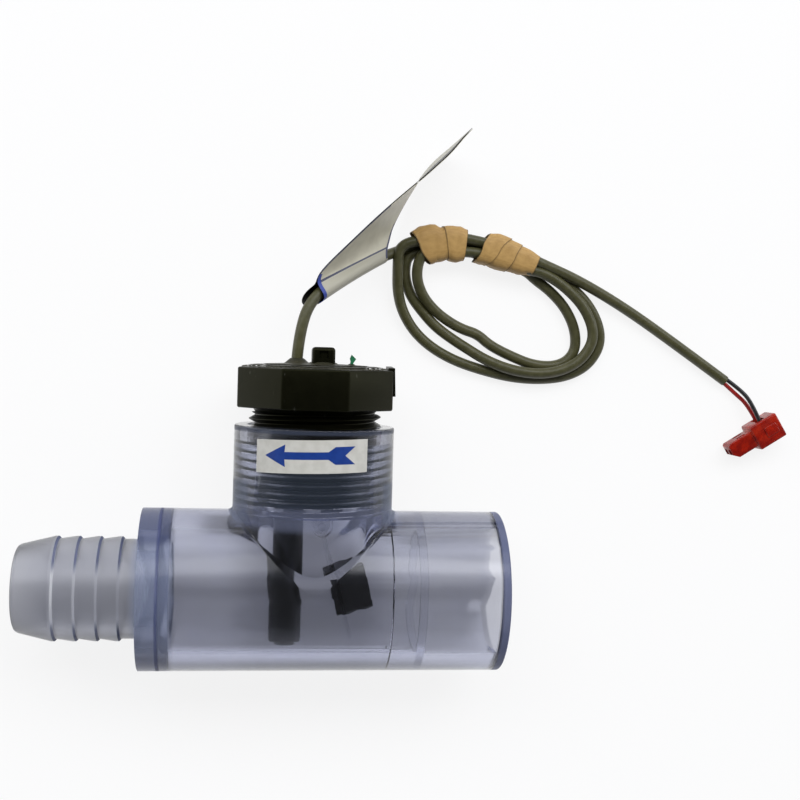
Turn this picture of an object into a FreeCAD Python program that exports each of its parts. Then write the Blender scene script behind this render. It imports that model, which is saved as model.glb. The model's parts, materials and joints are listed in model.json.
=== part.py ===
"""Flow switch: clear tee with a hose barb, a screwed-in reed-switch plug, a swinging paddle
and a coiled two-core lead.

The fitting lies on its side. X runs along the flow pipe towards the slip socket, Y runs up
the threaded neck towards the plug, and Z points up from the resting surface. The origin is
the middle of the underside of the fitting. All sizes are in millimetres.

Pieces of the fitting are drawn about the crossing of the pipe axis and the neck axis, and
moved to the origin as they are written. The lead is drawn where it lies.
"""
import FreeCAD, Part
import math
import os

V = FreeCAD.Vector
X = V(1, 0, 0)
Y = V(0, 1, 0)
Z = V(0, 0, 1)

# Clear tee, measured from the crossing of its two axes.
RUN_R = 21.0
RUN_LEFT = -38.6
RUN_RIGHT = 49.8
NECK_R = 20.9
NECK_TOP = 43.4
CROTCH_FILLET = 1.0
RUN_BORE_R = 16.0
NECK_BORE_R = 14.8
RIM_CHAMFER = 0.8
MOUTH_CHAMFER = 1.9
MOUTH_FLARE = 1.7
RIM_ROUND = 0.5

# Slip socket on the inlet, with the ring that stops the pipe.
SOCKET_R = 16.75
SOCKET_DEPTH = 21.0
STOP_RING_R = 15.3
STOP_RING_WIDTH = 2.0
BORE_STEP_X = 20.0
BORE_STEP_R = 16.35

# Neck thread, drawn as rings: its radius grows by one part in thirty-two.
TAPER = 1.0 / 32.0
THREAD_MEAN_R = 16.4
THREAD_BOTTOM = 20.5
THREAD_PITCH = 2.209
THREAD_FLAT = 0.18
THREAD_HALF_DEPTH = 0.8
THREAD_PLAY = 0.08
FIRST_RING = 22.1655
MALE_RINGS = 10
FEMALE_RINGS = 7
COUNTERBORE_R = 17.5
COUNTERBORE_BOTTOM = 39.2

# Hose barb, glued into the outlet socket.
SPIGOT_LENGTH = 2.6
SPIGOT_FLARE_R = 13.0
SPIGOT_FLARE = 4.0
SPIGOT_R = 16.7
COLLAR_WIDTH = 5.3
BARB_TIP_X = -75.2
BARB_BORE_R = 10.0
BARB_TIP_R = 11.4
BARB_CREST_R = 13.45
BARB_ROOT_R = 13.05
BARB_CRESTS_X = (-65.4, -60.0, -54.6, -49.2)
BARB_CREST_FLAT = 0.9
BARB_DROP = 0.5
BARB_LIP = 1.2

# Plug with an octagonal head.
HEAD_FLATS = 39.8
HEAD_TURN = -3.5
HEAD_BOTTOM = 48.0
HEAD_TOP = 58.4
HEAD_CHAMFER = 0.6
FLASH_BOTTOM = 51.6
FLASH_TOP = 59.2
FLASH_HALF = 7.4
FLASH_THICK = 0.45
SHANK_BOTTOM = 23.9
CUP_R = 13.0
CUP_FLOOR = 27.5

# Reed stem that hangs from the floor of the plug into the pipe.
STEM_X = -6.8
STEM_R = 4.2
STEM_BORE_R = 2.8
STEM_TIP = -14.2
STEM_FLANGE_R = 5.4
STEM_FLANGE = 1.5
STEM_END_WALL = 2.0

# Reed capsule and its two blades, side by side with the return lead.
REED_X = STEM_X - 0.6
REED_BOTTOM = -6.0
REED_TOP = 8.5
REED_R = 1.2
REED_CAVITY_R = 0.8
REED_SEAL = 1.5
REED_LEAD_R = 0.3
REED_LEAD_LENGTH = 1.0
BLADE_THICK = 0.2
BLADE_WIDTH = 1.0
BLADE_GAP = 0.14
BLADE_OVERLAP = 1.5
INNER_LEAD_R = 0.55

# Magnet in the stem that pushes the paddle back upstream.
BIAS_MAGNET_R = 2.2
BIAS_MAGNET_LENGTH = 2.8

# Cast resin that fills the cup and mounds up over the head.
RESIN_DOME_R = 19.6
RESIN_DOME = 1.5
CABLE_EXIT_X = -5.05
CABLE_EXIT_Y = 60.9
CABLE_MOUND_R = 3.8
SCREW_X = 1.6
SCREW_Z = 3.0
SCREW_HEAD_FLATS = 6.0
SCREW_HEAD_TOP = 64.0
SCREW_HEAD_ROUND = 1.1
SCREW_TOP_ROUND = 0.8
WINDOW_HALF = 1.1
WINDOW_BOTTOM = 61.0
WINDOW_TOP = 62.9
WINDOW_DEPTH = 0.7
SCREW_HEAD_BOTTOM = 60.4
SCREW_SHANK_R = 1.5
SCREW_TIP = 26.6
SCREW_MOUND_R = 4.6
STUB_Z = 5.0
STUB_THICK = 1.1
STUB_OUTLINE = (
    (8.3, 56.5), (8.3, 59.2), (8.58, 60.4), (8.37, 61.2), (8.79, 62.2),
    (9.95, 61.1), (9.25, 60.0), (9.34, 59.2), (9.34, 56.5),
)

# Hinge of the paddle, just below the plug.
PIVOT_X = 2.2
PIVOT_Y = 17.6
PIN_R = 1.0
PIN_PLAY = 0.05
LUG_INNER_Z = 5.1
LUG_OUTER_Z = 7.6
LUG_R = 2.6
BRACKET_BOTTOM = 21.5
BRACKET_SEAT = 1.8
KNUCKLE_R = 2.2
KNUCKLE_HALF = 4.8

# Paddle, drawn hanging straight down and then tilted upstream to its resting angle.
REST_TILT = 15.2
VANE_THICK = 0.8
VANE_LENGTH = 31.0
VANE_HALF = 8.5
VANE_CORNER_R = 6.0
VANE_SHOULDER = 9.0
HEEL_REACH = 4.6
HEEL_GAP = 0.3
HEEL_THICK = 1.6
CARRIER_BACK = -1.9
CARRIER_FRONT = 7.7
CARRIER_TOP = 12.5
CARRIER_BOTTOM = 24.1
CARRIER_HALF = 4.8
CARRIER_FILLET = 0.8
PEG_R = 1.0
PEG_SPREAD = 3.4
MAGNET_R = 3.2
MAGNET_LENGTH = 5.6

# Paper label with the flow arrow, stuck round the front of the neck.
LABEL_BOTTOM = 32.9
LABEL_TOP = 41.2
LABEL_START = -46.4
LABEL_END = 35.2
LABEL_THICK = 0.12

# The fitting's crossing point, placed so that the origin is under the middle of its box.
CROSSING = V(
    -(BARB_TIP_X + RUN_RIGHT) / 2.0,
    -(SCREW_HEAD_TOP - RUN_R) / 2.0,
    RUN_R,
)

# Two-core lead, drawn where it lies.
CABLE_R = 1.5
WIRE_R = 0.6
EXIT = CROSSING + V(CABLE_EXIT_X, CABLE_EXIT_Y, 0)
LEAD_ROUTE = (
    EXIT,
    EXIT + V(0.4, 6.2, 0.0),
    V(10.6, 54.6, 19.4),
    V(18.6, 61.4, 15.0),
    V(28.4, 66.8, 7.6),
    V(37.0, 70.4, 1.7),
)
TAIL_ROUTE = (
    V(77.5, 67.4, 4.5),
    V(88.0, 63.4, 3.2),
    V(102.0, 56.2, 1.8),
    V(117.7, 46.2, 1.6),
    V(132.7, 36.2, 1.6),
)
BLACK_ROUTE = (
    V(133.04, 36.72, 1.7),
    V(137.0, 33.9, 2.6),
    V(140.0, 30.4, 3.9),
    V(142.38, 25.03, 4.7),
)
RED_ROUTE = (
    V(132.36, 35.68, 1.5),
    V(136.3, 32.4, 1.5),
    V(139.7, 29.6, 1.9),
    V(142.38, 25.03, 2.2),
)

# Outer and inner outline of the hank of three turns, and its height.
COIL_OUTER = (
    (33.9, 62.0), (35.6, 52.4), (42.0, 43.6), (52.0, 38.2), (66.0, 34.4), (78.0, 33.4),
    (88.4, 35.4), (94.8, 41.0), (96.6, 48.0), (93.8, 57.0), (86.4, 64.2), (76.0, 70.2),
    (65.0, 75.0), (54.0, 76.5), (43.0, 76.6), (36.2, 71.8),
)
COIL_INNER = (
    (42.0, 63.8), (44.6, 57.4), (49.4, 52.8), (58.0, 49.6), (66.2, 45.0), (74.0, 41.6),
    (80.4, 40.2), (85.4, 42.2), (86.8, 46.4), (85.4, 51.4), (81.6, 57.2), (74.6, 63.0),
    (65.0, 66.6), (55.0, 68.6), (46.4, 67.6),
)
COIL_BOTTOM = 0.4
COIL_TOP = 6.6
TAPE_WRAP = 0.4
TAPE_LEFT = ((37.4, 73.6), (41.6, 77.2), (54.4, 77.2), (54.6, 68.0), (43.6, 66.0), (42.2, 68.4))
TAPE_RIGHT = ((58.0, 67.6), (59.4, 76.6), (65.8, 75.6), (76.4, 70.6), (73.0, 63.4), (64.4, 66.0))

# Paper tag folded round the lead, with a flag that twists until it stands on its edge.
TAG_WALL = 0.35
TAG_PAPER = 0.4
TAG_FLAG = (
    (V(15.2, 59.4, 18.2), V(31.4, 69.0, 8.2)),
    (V(17.6, 67.5, 20.8), V(32.6, 73.2, 4.8)),
    (V(23.7, 73.4, 21.5), V(33.9, 77.4, 2.2)),
    (V(30.8, 80.2, 21.8), V(36.4, 82.9, 0.9)),
    (V(38.6, 87.1, 21.8), V(39.1, 87.3, 0.6)),
    (V(45.6, 94.0, 21.8), V(44.9, 94.0, 0.6)),
    (V(52.0, 101.4, 21.8), V(51.3, 99.9, 0.6)),
)

# Two-way plug on the end of the lead, lying on its side.
PLUG_REAR = V(148.05, 24.45, 0.0)
PLUG_TURN = 212.0
PLUG_BLOCK = 8.8
PLUG_BLOCK_HALF = 3.7
PLUG_BLOCK_TOP = 7.0
PLUG_NOSE = 7.8
PLUG_NOSE_HALF = 2.45
PLUG_NOSE_BOTTOM = 0.9
PLUG_NOSE_TOP = 6.0
PLUG_EDGE = 0.5
CONTACT_HEIGHTS = (2.2, 4.7)
CAVITY_HALF = 0.8
CAVITY_START = 3.0
CONTACT_HALF = 0.55
WIRE_ENTRY_U = 4.5


def cylinder(radius, start, end, axis):
    """A round bar of the given radius from one point along an axis direction to another."""
    return Part.makeCylinder(radius, (end - start).dot(axis), start, axis)


def turned(points, axis):
    """Solid of revolution: points are (distance along the axis, radius) pairs."""
    across = Y if axis == X else X
    ring = [axis * along + across * radius for along, radius in points]
    face = Part.Face(Part.makePolygon(ring + [ring[0]]))
    return face.revolve(V(0, 0, 0), axis, 360)


def thread_radius(height):
    """Mean radius of the tapered neck thread at a height above the pipe axis."""
    return THREAD_MEAN_R + (height - NECK_TOP) * TAPER


def thread_rings(first, count, play):
    """Outline of the thread as rings from a first one up, widened by the play between its two halves."""
    points = []
    root = play - THREAD_HALF_DEPTH
    crest = play + THREAD_HALF_DEPTH
    for number in range(count):
        for rise, depth in (
            (0.0, root), (THREAD_FLAT, root), (THREAD_PITCH / 2.0, crest),
            (THREAD_PITCH / 2.0 + THREAD_FLAT, crest),
        ):
            level = first + number * THREAD_PITCH + rise
            points.append((level, thread_radius(level) + depth))
    end = first + count * THREAD_PITCH
    points.append((end, thread_radius(end) + root))
    return points


def prism(flats, sides, bottom, top, centre):
    """A regular prism standing along Y, with flats square to X and Z."""
    corner_r = flats / 2.0 / math.cos(math.pi / sides)
    half = math.pi / sides
    ring = []
    for i in range(sides + 1):
        angle = half + 2.0 * half * i
        ring.append(centre + V(corner_r * math.cos(angle), bottom, corner_r * math.sin(angle)))
    return Part.Face(Part.makePolygon(ring)).extrude(Y * (top - bottom))


def edges_at(shape, height):
    """Edges of a shape that lie wholly at one height along Y."""
    found = []
    for edge in shape.Edges:
        box = edge.BoundBox
        if abs(box.YMin - height) < 1e-6 and abs(box.YMax - height) < 1e-6:
            found.append(edge)
    return found


def rounded_route(points):
    """Wire of straight runs joined by tangent arcs, each as large as its two runs allow."""
    edges = []
    radii = []
    start = points[0]
    for before, corner, after in zip(points, points[1:], points[2:]):
        into = (corner - before).normalize()
        out = (after - corner).normalize()
        half_turn = into.getAngle(out) / 2.0
        setback = 0.45 * min((corner - before).Length, (after - corner).Length)
        radius = setback / math.tan(half_turn)
        entry = corner - into * setback
        leave = corner + out * setback
        bisector = (out - into).normalize()
        middle = corner + bisector * (radius / math.cos(half_turn) - radius)
        edges.append(Part.LineSegment(start, entry).toShape())
        edges.append(Part.Arc(entry, middle, leave).toShape())
        radii.append(round(radius, 1))
        start = leave
    edges.append(Part.LineSegment(start, points[-1]).toShape())
    return Part.Wire(edges), radii


def swept(wire, radius):
    """A round bar that follows a wire."""
    start = wire.Vertexes[0].Point
    ahead = wire.Edges[0].tangentAt(wire.Edges[0].FirstParameter)
    section = Part.Wire(Part.makeCircle(radius, start, ahead))
    return wire.makePipeShell([section], True, True)


def cord(name, route, radius):
    """Tube along a rounded route, with its radii and its volume against the plain product."""
    wire, radii = rounded_route(route)
    tube = swept(wire, radius)
    share = tube.Volume / (math.pi * radius ** 2 * wire.Length)
    print(f"{name}: length {wire.Length:.1f}, bend radii {radii}, volume ratio {share:.4f}")
    return tube


def tee_body():
    """Clear moulded tee: slip sockets on the run and a tapered thread bore in the neck."""
    run = cylinder(RUN_R, V(RUN_LEFT, 0, 0), V(RUN_RIGHT, 0, 0), X)
    neck = cylinder(NECK_R, V(0, 0, 0), V(0, NECK_TOP, 0), Y)
    outer = run.fuse(neck).removeSplitter()
    crotch = [
        edge for edge in outer.Edges
        if edge.BoundBox.XLength > NECK_R and 0 < edge.BoundBox.YMax < NECK_TOP - 1
    ]
    outer = outer.makeFillet(CROTCH_FILLET, crotch)
    mouth = [
        edge for edge in outer.Edges
        if edge.BoundBox.XMin > RUN_RIGHT - 1e-6 and edge.BoundBox.XLength < 1e-6
    ]
    outer = outer.makeFillet(RIM_ROUND, mouth + edges_at(outer, NECK_TOP))
    stop = RUN_RIGHT - SOCKET_DEPTH
    flow = turned(
        (
            (RUN_LEFT - 1, 0), (RUN_LEFT - 1, SPIGOT_R), (RUN_LEFT + SPIGOT_LENGTH, SPIGOT_R),
            (RUN_LEFT + SPIGOT_LENGTH, RUN_BORE_R), (BORE_STEP_X, RUN_BORE_R),
            (BORE_STEP_X, BORE_STEP_R), (stop - STOP_RING_WIDTH, BORE_STEP_R),
            (stop - STOP_RING_WIDTH, STOP_RING_R), (stop, STOP_RING_R), (stop, SOCKET_R),
            (RUN_RIGHT - MOUTH_CHAMFER, SOCKET_R), (RUN_RIGHT, SOCKET_R + MOUTH_FLARE),
            (RUN_RIGHT, 0),
        ),
        X,
    )
    rings = thread_rings(FIRST_RING, FEMALE_RINGS, THREAD_PLAY)
    bore = [
        (0, 0), (0, NECK_BORE_R), (THREAD_BOTTOM, NECK_BORE_R), (THREAD_BOTTOM, rings[0][1])
    ]
    bore += rings
    bore += [
        (COUNTERBORE_BOTTOM, rings[-1][1]), (COUNTERBORE_BOTTOM, COUNTERBORE_R),
        (NECK_TOP, COUNTERBORE_R), (NECK_TOP, 0),
    ]
    neck_bore = turned(bore, Y)
    return outer.cut(flow).cut(neck_bore)


def hose_barb():
    """Barbed outlet with a collar as wide as the tee and a short spigot glued inside it."""
    collar_face = RUN_LEFT - COLLAR_WIDTH
    spigot_end = RUN_LEFT + SPIGOT_LENGTH
    outline = [(BARB_TIP_X, BARB_BORE_R), (BARB_TIP_X, BARB_TIP_R - BARB_LIP)]
    outline.append((BARB_TIP_X + BARB_LIP / 3.0, BARB_TIP_R - BARB_LIP / 3.0))
    outline.append((BARB_TIP_X + BARB_LIP, BARB_TIP_R))
    for crest in BARB_CRESTS_X:
        outline.append((crest - BARB_CREST_FLAT / 2.0, BARB_CREST_R))
        outline.append((crest + BARB_CREST_FLAT / 2.0, BARB_CREST_R))
        outline.append((crest + BARB_CREST_FLAT / 2.0 + BARB_DROP, BARB_ROOT_R))
    outline.append((collar_face, BARB_ROOT_R))
    outline.append((collar_face, RUN_R - RIM_CHAMFER))
    outline.append((collar_face + RIM_CHAMFER, RUN_R))
    outline.append((RUN_LEFT, RUN_R))
    outline.append((RUN_LEFT, SPIGOT_R))
    outline.append((spigot_end, SPIGOT_R))
    outline.append((spigot_end, SPIGOT_FLARE_R))
    outline.append((spigot_end - SPIGOT_FLARE, BARB_BORE_R))
    return turned(outline, X)


def flow_arrow_label():
    """Strip of label paper bent round the neck, arrow side outward."""
    band = cylinder(NECK_R + LABEL_THICK, V(0, LABEL_BOTTOM, 0), V(0, LABEL_TOP, 0), Y)
    band = band.cut(cylinder(NECK_R, V(0, LABEL_BOTTOM, 0), V(0, LABEL_TOP, 0), Y))
    reach = 2.0 * NECK_R
    start = math.radians(LABEL_START)
    end = math.radians(LABEL_END)
    fan = [
        V(0, LABEL_BOTTOM, 0),
        V(reach * math.sin(start), LABEL_BOTTOM, reach * math.cos(start)),
        V(reach * math.sin(end), LABEL_BOTTOM, reach * math.cos(end)),
        V(0, LABEL_BOTTOM, 0),
    ]
    wedge = Part.Face(Part.makePolygon(fan)).extrude(Y * (LABEL_TOP - LABEL_BOTTOM))
    return band.common(wedge)


def hinge_lug(side):
    """One ear below the plug that carries an end of the hinge pin."""
    near = LUG_INNER_Z if side > 0 else -LUG_OUTER_Z
    width = LUG_OUTER_Z - LUG_INNER_Z
    eye = Part.makeCylinder(LUG_R, width, V(PIVOT_X, PIVOT_Y, near), Z)
    web = Part.makeBox(2 * LUG_R, BRACKET_BOTTOM - PIVOT_Y, width, V(PIVOT_X - LUG_R, PIVOT_Y, near))
    return eye.fuse(web)


def bracket_seat():
    """Bar of the hinge bracket, whose upper end is let into the underside of the plug."""
    return Part.makeBox(
        2 * LUG_R, SHANK_BOTTOM + BRACKET_SEAT - BRACKET_BOTTOM, 2 * LUG_OUTER_Z,
        V(PIVOT_X - LUG_R, BRACKET_BOTTOM, -LUG_OUTER_Z),
    )


def hinge_bracket():
    """Clear bracket glued into the plug, with the two ears of the hinge."""
    bracket = bracket_seat().fuse(hinge_lug(1)).fuse(hinge_lug(-1)).removeSplitter()
    return bracket.cut(pivot_pin())


def moulding_flash():
    """Thin fin left by the mould on the head's right facet, standing above its rim."""
    root = HEAD_FLATS / 2.0 - 2 * HEAD_CHAMFER
    return Part.makeBox(
        2 * HEAD_CHAMFER + FLASH_THICK, FLASH_TOP - FLASH_BOTTOM, 2 * FLASH_HALF,
        V(root, FLASH_BOTTOM, -FLASH_HALF),
    )


def switch_plug():
    """Black plug: octagonal head, shank with thread rings, open cup and a seat for the hinge bracket."""
    head = prism(HEAD_FLATS, 8, HEAD_BOTTOM, HEAD_TOP, V(0, 0, 0))
    head = head.makeChamfer(HEAD_CHAMFER, edges_at(head, HEAD_BOTTOM) + edges_at(head, HEAD_TOP))
    head = head.fuse(moulding_flash())
    head.rotate(V(0, 0, 0), Y, HEAD_TURN)
    rings = thread_rings(FIRST_RING + THREAD_PITCH, MALE_RINGS, 0.0)
    outline = [(SHANK_BOTTOM, 0), (SHANK_BOTTOM, rings[0][1] - RIM_CHAMFER / 2.0)]
    outline += rings
    outline += [(HEAD_BOTTOM, thread_radius(HEAD_BOTTOM)), (HEAD_BOTTOM, 0)]
    plug = head.fuse(turned(outline, Y)).removeSplitter()
    plug = plug.cut(cylinder(CUP_R, V(0, CUP_FLOOR, 0), V(0, HEAD_TOP, 0), Y))
    plug = plug.cut(cylinder(STEM_R, V(STEM_X, SHANK_BOTTOM, 0), V(STEM_X, CUP_FLOOR, 0), Y))
    plug = plug.cut(bracket_seat())
    return plug.cut(screw_shank())


def reed_stem():
    """Closed tube that carries the reed into the flow, flanged to sit on the cup floor."""
    tube = cylinder(STEM_R, V(STEM_X, STEM_TIP, 0), V(STEM_X, CUP_FLOOR, 0), Y)
    tube = tube.makeFillet(1.0, edges_at(tube, STEM_TIP))
    top = CUP_FLOOR + STEM_FLANGE
    flange = cylinder(STEM_FLANGE_R, V(STEM_X, CUP_FLOOR, 0), V(STEM_X, top, 0), Y)
    bore = cylinder(STEM_BORE_R, V(STEM_X, STEM_TIP + STEM_END_WALL, 0), V(STEM_X, top, 0), Y)
    return tube.fuse(flange).removeSplitter().cut(bore)


def reed_lead(bottom, top):
    """Round wire tail of a reed blade."""
    return cylinder(REED_LEAD_R, V(REED_X, bottom, 0), V(REED_X, top, 0), Y)


def reed_capsule():
    """Glass tube sealed round the two reed wires."""
    glass = cylinder(REED_R, V(REED_X, REED_BOTTOM, 0), V(REED_X, REED_TOP, 0), Y)
    glass = glass.makeFillet(0.5, edges_at(glass, REED_BOTTOM) + edges_at(glass, REED_TOP))
    low = REED_BOTTOM + REED_SEAL
    high = REED_TOP - REED_SEAL
    glass = glass.cut(cylinder(REED_CAVITY_R, V(REED_X, low, 0), V(REED_X, high, 0), Y))
    return glass.cut(reed_lead(REED_BOTTOM, low)).cut(reed_lead(high, REED_TOP))


def reed_blade(upper):
    """One springy blade of the reed, with its wire tail through the glass."""
    middle = (REED_BOTTOM + REED_TOP) / 2.0
    left = REED_X + (BLADE_GAP / 2.0 if upper else -BLADE_GAP / 2.0 - BLADE_THICK)
    if upper:
        low = middle - BLADE_OVERLAP / 2.0
        high = REED_TOP - REED_SEAL
        tail = reed_lead(high - 0.6, REED_TOP + REED_LEAD_LENGTH)
    else:
        low = REED_BOTTOM + REED_SEAL
        high = middle + BLADE_OVERLAP / 2.0
        tail = reed_lead(REED_BOTTOM - REED_LEAD_LENGTH, low + 0.6)
    corner = V(left, low, -BLADE_WIDTH / 2.0)
    blade = Part.makeBox(BLADE_THICK, high - low, BLADE_WIDTH, corner)
    return blade.fuse(tail).removeSplitter()


def inner_lead_red():
    """Short core from the upper reed wire straight up to the cable."""
    start = V(REED_X, REED_TOP + REED_LEAD_LENGTH, 0)
    end = V(CABLE_EXIT_X - 0.65, CABLE_EXIT_Y, 0)
    knee = V(start.x, CUP_FLOOR + 8, 0)
    shoulder = V(end.x, CUP_FLOOR + 20, 0)
    wire, radii = rounded_route((start, knee, shoulder, end))
    return swept(wire, INNER_LEAD_R)


def inner_lead_black():
    """Core from the lower reed wire, turned back up past the capsule to the cable."""
    low = REED_BOTTOM - REED_LEAD_LENGTH
    loop_r = 1.25
    start = V(REED_X, low, 0)
    under = V(REED_X + loop_r, low - loop_r, 0)
    back = V(REED_X + 2 * loop_r, low, 0)
    end = V(CABLE_EXIT_X + 0.65, CABLE_EXIT_Y, 0)
    rise, radii = rounded_route((back, V(back.x, CUP_FLOOR + 8, 0), V(end.x, CUP_FLOOR + 20, 0), end))
    wire = Part.Wire([Part.Arc(start, under, back).toShape()] + rise.Edges)
    return swept(wire, INNER_LEAD_R)


def bias_magnet():
    """Small round magnet on the floor of the stem that repels the paddle's magnet."""
    floor = STEM_TIP + STEM_END_WALL
    return cylinder(BIAS_MAGNET_R, V(STEM_X, floor, 0), V(STEM_X, floor + BIAS_MAGNET_LENGTH, 0), Y)


def screw_shank():
    """Plain bar in place of the thread of the insert screw."""
    return cylinder(
        SCREW_SHANK_R, V(SCREW_X, SCREW_TIP, SCREW_Z), V(SCREW_X, SCREW_HEAD_BOTTOM, SCREW_Z), Y
    )


def insert_screw():
    """Nylon screw whose rounded square head, with a window in front, stands out of the resin."""
    half = SCREW_HEAD_FLATS / 2.0
    height = SCREW_HEAD_TOP - SCREW_HEAD_BOTTOM
    corner = V(SCREW_X - half, SCREW_HEAD_BOTTOM, SCREW_Z - half)
    head = Part.makeBox(SCREW_HEAD_FLATS, height, SCREW_HEAD_FLATS, corner)
    uprights = [edge for edge in head.Edges if edge.BoundBox.YLength > height / 2.0]
    head = head.makeFillet(SCREW_HEAD_ROUND, uprights)
    head = head.makeFillet(SCREW_TOP_ROUND, edges_at(head, SCREW_HEAD_TOP))
    window = Part.makeBox(
        2 * WINDOW_HALF, WINDOW_TOP - WINDOW_BOTTOM, 2 * WINDOW_DEPTH,
        V(SCREW_X - WINDOW_HALF, WINDOW_BOTTOM, SCREW_Z + half - WINDOW_DEPTH),
    )
    return head.cut(window).fuse(screw_shank()).removeSplitter()


def green_wire_stub():
    """Snipped, spread end of a spare green core, left standing in the resin."""
    corners = [V(x, y, STUB_Z - STUB_THICK / 2.0) for x, y in STUB_OUTLINE]
    return Part.Face(Part.makePolygon(corners + corners[:1])).extrude(V(0, 0, STUB_THICK))


def potting_fill(buried):
    """Resin cast in the cup and the stem, mounded round the cable and the screw head."""
    rim = V(RESIN_DOME_R, HEAD_TOP, 0)
    crown = V(0, HEAD_TOP + RESIN_DOME, 0)
    shoulder = V(RESIN_DOME_R * 0.55, HEAD_TOP + RESIN_DOME * 0.74, 0)
    centre = V(0, HEAD_TOP, 0)
    section = Part.Wire(
        [
            Part.LineSegment(centre, rim).toShape(),
            Part.Arc(rim, shoulder, crown).toShape(),
            Part.LineSegment(crown, centre).toShape(),
        ]
    )
    resin = Part.Face(section).revolve(V(0, 0, 0), Y, 360)
    resin = resin.fuse(cylinder(CUP_R, V(0, CUP_FLOOR, 0), V(0, HEAD_TOP, 0), Y))
    floor = STEM_TIP + STEM_END_WALL
    resin = resin.fuse(cylinder(STEM_BORE_R, V(STEM_X, floor, 0), V(STEM_X, CUP_FLOOR + 5, 0), Y))
    base = HEAD_TOP + 0.4
    cable_mound = Part.makeCone(
        CABLE_MOUND_R, CABLE_R + 0.5, CABLE_EXIT_Y - base, V(CABLE_EXIT_X, base, 0), Y
    )
    screw_mound = Part.makeCone(
        SCREW_MOUND_R, SCREW_HEAD_FLATS / 2.0, SCREW_HEAD_BOTTOM - base, V(SCREW_X, base, SCREW_Z), Y
    )
    resin = resin.fuse(cable_mound).fuse(screw_mound).removeSplitter()
    for piece in buried:
        resin = resin.cut(piece)
    return resin


def pivot_pin():
    """Hinge pin pressed through the two ears."""
    return Part.makeCylinder(PIN_R, 2 * LUG_OUTER_Z, V(PIVOT_X, PIVOT_Y, -LUG_OUTER_Z), Z)


def tilted(shape):
    """Turn a piece drawn hanging straight down to the paddle's resting angle."""
    shape.rotate(V(PIVOT_X, PIVOT_Y, 0), Z, REST_TILT)
    return shape


def vane_blade():
    """Flat of the vane: narrow between the ears, wide in the flow, round at the bottom."""
    left = PIVOT_X - VANE_THICK / 2.0
    top = PIVOT_Y - KNUCKLE_R * 0.6
    shoulder = PIVOT_Y - VANE_SHOULDER
    tip = PIVOT_Y - VANE_LENGTH
    neck_half = KNUCKLE_HALF - 0.6
    outline = [
        V(left, top, -neck_half), V(left, shoulder + 3, -neck_half), V(left, shoulder, -VANE_HALF),
        V(left, tip, -VANE_HALF), V(left, tip, VANE_HALF), V(left, shoulder, VANE_HALF),
        V(left, shoulder + 3, neck_half), V(left, top, neck_half),
    ]
    blade = Part.Face(Part.makePolygon(outline + [outline[0]])).extrude(X * VANE_THICK)
    corners = [
        edge for edge in blade.Edges
        if edge.BoundBox.XLength > VANE_THICK / 2.0 and abs(edge.BoundBox.YMax - tip) < 1e-6
    ]
    blade = blade.makeFillet(VANE_CORNER_R, corners)
    return blade.cut(carrier_pegs())


def paddle_vane():
    """Vane with its hinge knuckle and the heel that stops it against the bracket."""
    hub = Part.makeCylinder(KNUCKLE_R, 2 * KNUCKLE_HALF, V(PIVOT_X, PIVOT_Y, -KNUCKLE_HALF), Z)
    body = tilted(hub.fuse(vane_blade()).removeSplitter())
    heel_top = BRACKET_BOTTOM - HEEL_GAP
    heel = Part.makeBox(
        HEEL_REACH, HEEL_THICK, 2 * KNUCKLE_HALF,
        V(PIVOT_X, heel_top - HEEL_THICK, -KNUCKLE_HALF),
    )
    pier = Part.makeBox(
        KNUCKLE_R, heel_top - PIVOT_Y, 2 * KNUCKLE_HALF, V(PIVOT_X, PIVOT_Y, -KNUCKLE_HALF)
    )
    bore = Part.makeCylinder(
        PIN_R + PIN_PLAY, 2 * KNUCKLE_HALF, V(PIVOT_X, PIVOT_Y, -KNUCKLE_HALF), Z
    )
    return body.fuse(heel).fuse(pier).removeSplitter().cut(bore)


def magnet_pocket():
    """Round pocket sunk into the upstream face of the carrier."""
    start = V(PIVOT_X + CARRIER_FRONT - MAGNET_LENGTH, carrier_middle(), 0)
    return cylinder(MAGNET_R, start, start + X * MAGNET_LENGTH, X)


def carrier_middle():
    """Height of the carrier's centre while the vane hangs straight down."""
    return PIVOT_Y - (CARRIER_TOP + CARRIER_BOTTOM) / 2.0


def carrier_block(back, front):
    """A slice of the carrier's outline between two distances from the vane's middle."""
    block = Part.makeBox(
        front - back, CARRIER_BOTTOM - CARRIER_TOP, 2 * CARRIER_HALF,
        V(PIVOT_X + back, PIVOT_Y - CARRIER_BOTTOM, -CARRIER_HALF),
    )
    along = [edge for edge in block.Edges if edge.BoundBox.XLength > (front - back) / 2.0]
    return block.makeFillet(CARRIER_FILLET, along)


def carrier_pegs():
    """Two pegs of the carrier that pass through the vane into the keeper."""
    start = V(PIVOT_X + CARRIER_BACK, carrier_middle(), 0)
    reach = X * (VANE_THICK / 2.0 - CARRIER_BACK)
    lower = cylinder(PEG_R, start - Y * PEG_SPREAD, start - Y * PEG_SPREAD + reach, X)
    upper = cylinder(PEG_R, start + Y * PEG_SPREAD, start + Y * PEG_SPREAD + reach, X)
    return Part.makeCompound([lower, upper])


def magnet_carrier():
    """Black block on the upstream side of the vane, pegged through it, with the magnet's pocket."""
    block = carrier_block(VANE_THICK / 2.0, CARRIER_FRONT).cut(magnet_pocket())
    return tilted(block.fuse(carrier_pegs().Solids).removeSplitter())


def carrier_keeper():
    """Plate behind the vane that the carrier's pegs are staked into."""
    return tilted(carrier_block(CARRIER_BACK, -VANE_THICK / 2.0).cut(carrier_pegs()))


def paddle_magnet():
    """Round magnet flush with the carrier's upstream face."""
    return tilted(magnet_pocket())


def cable_lead():
    """Lead from the resin to the hank."""
    return cord("cable_lead", LEAD_ROUTE, CABLE_R)


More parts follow.
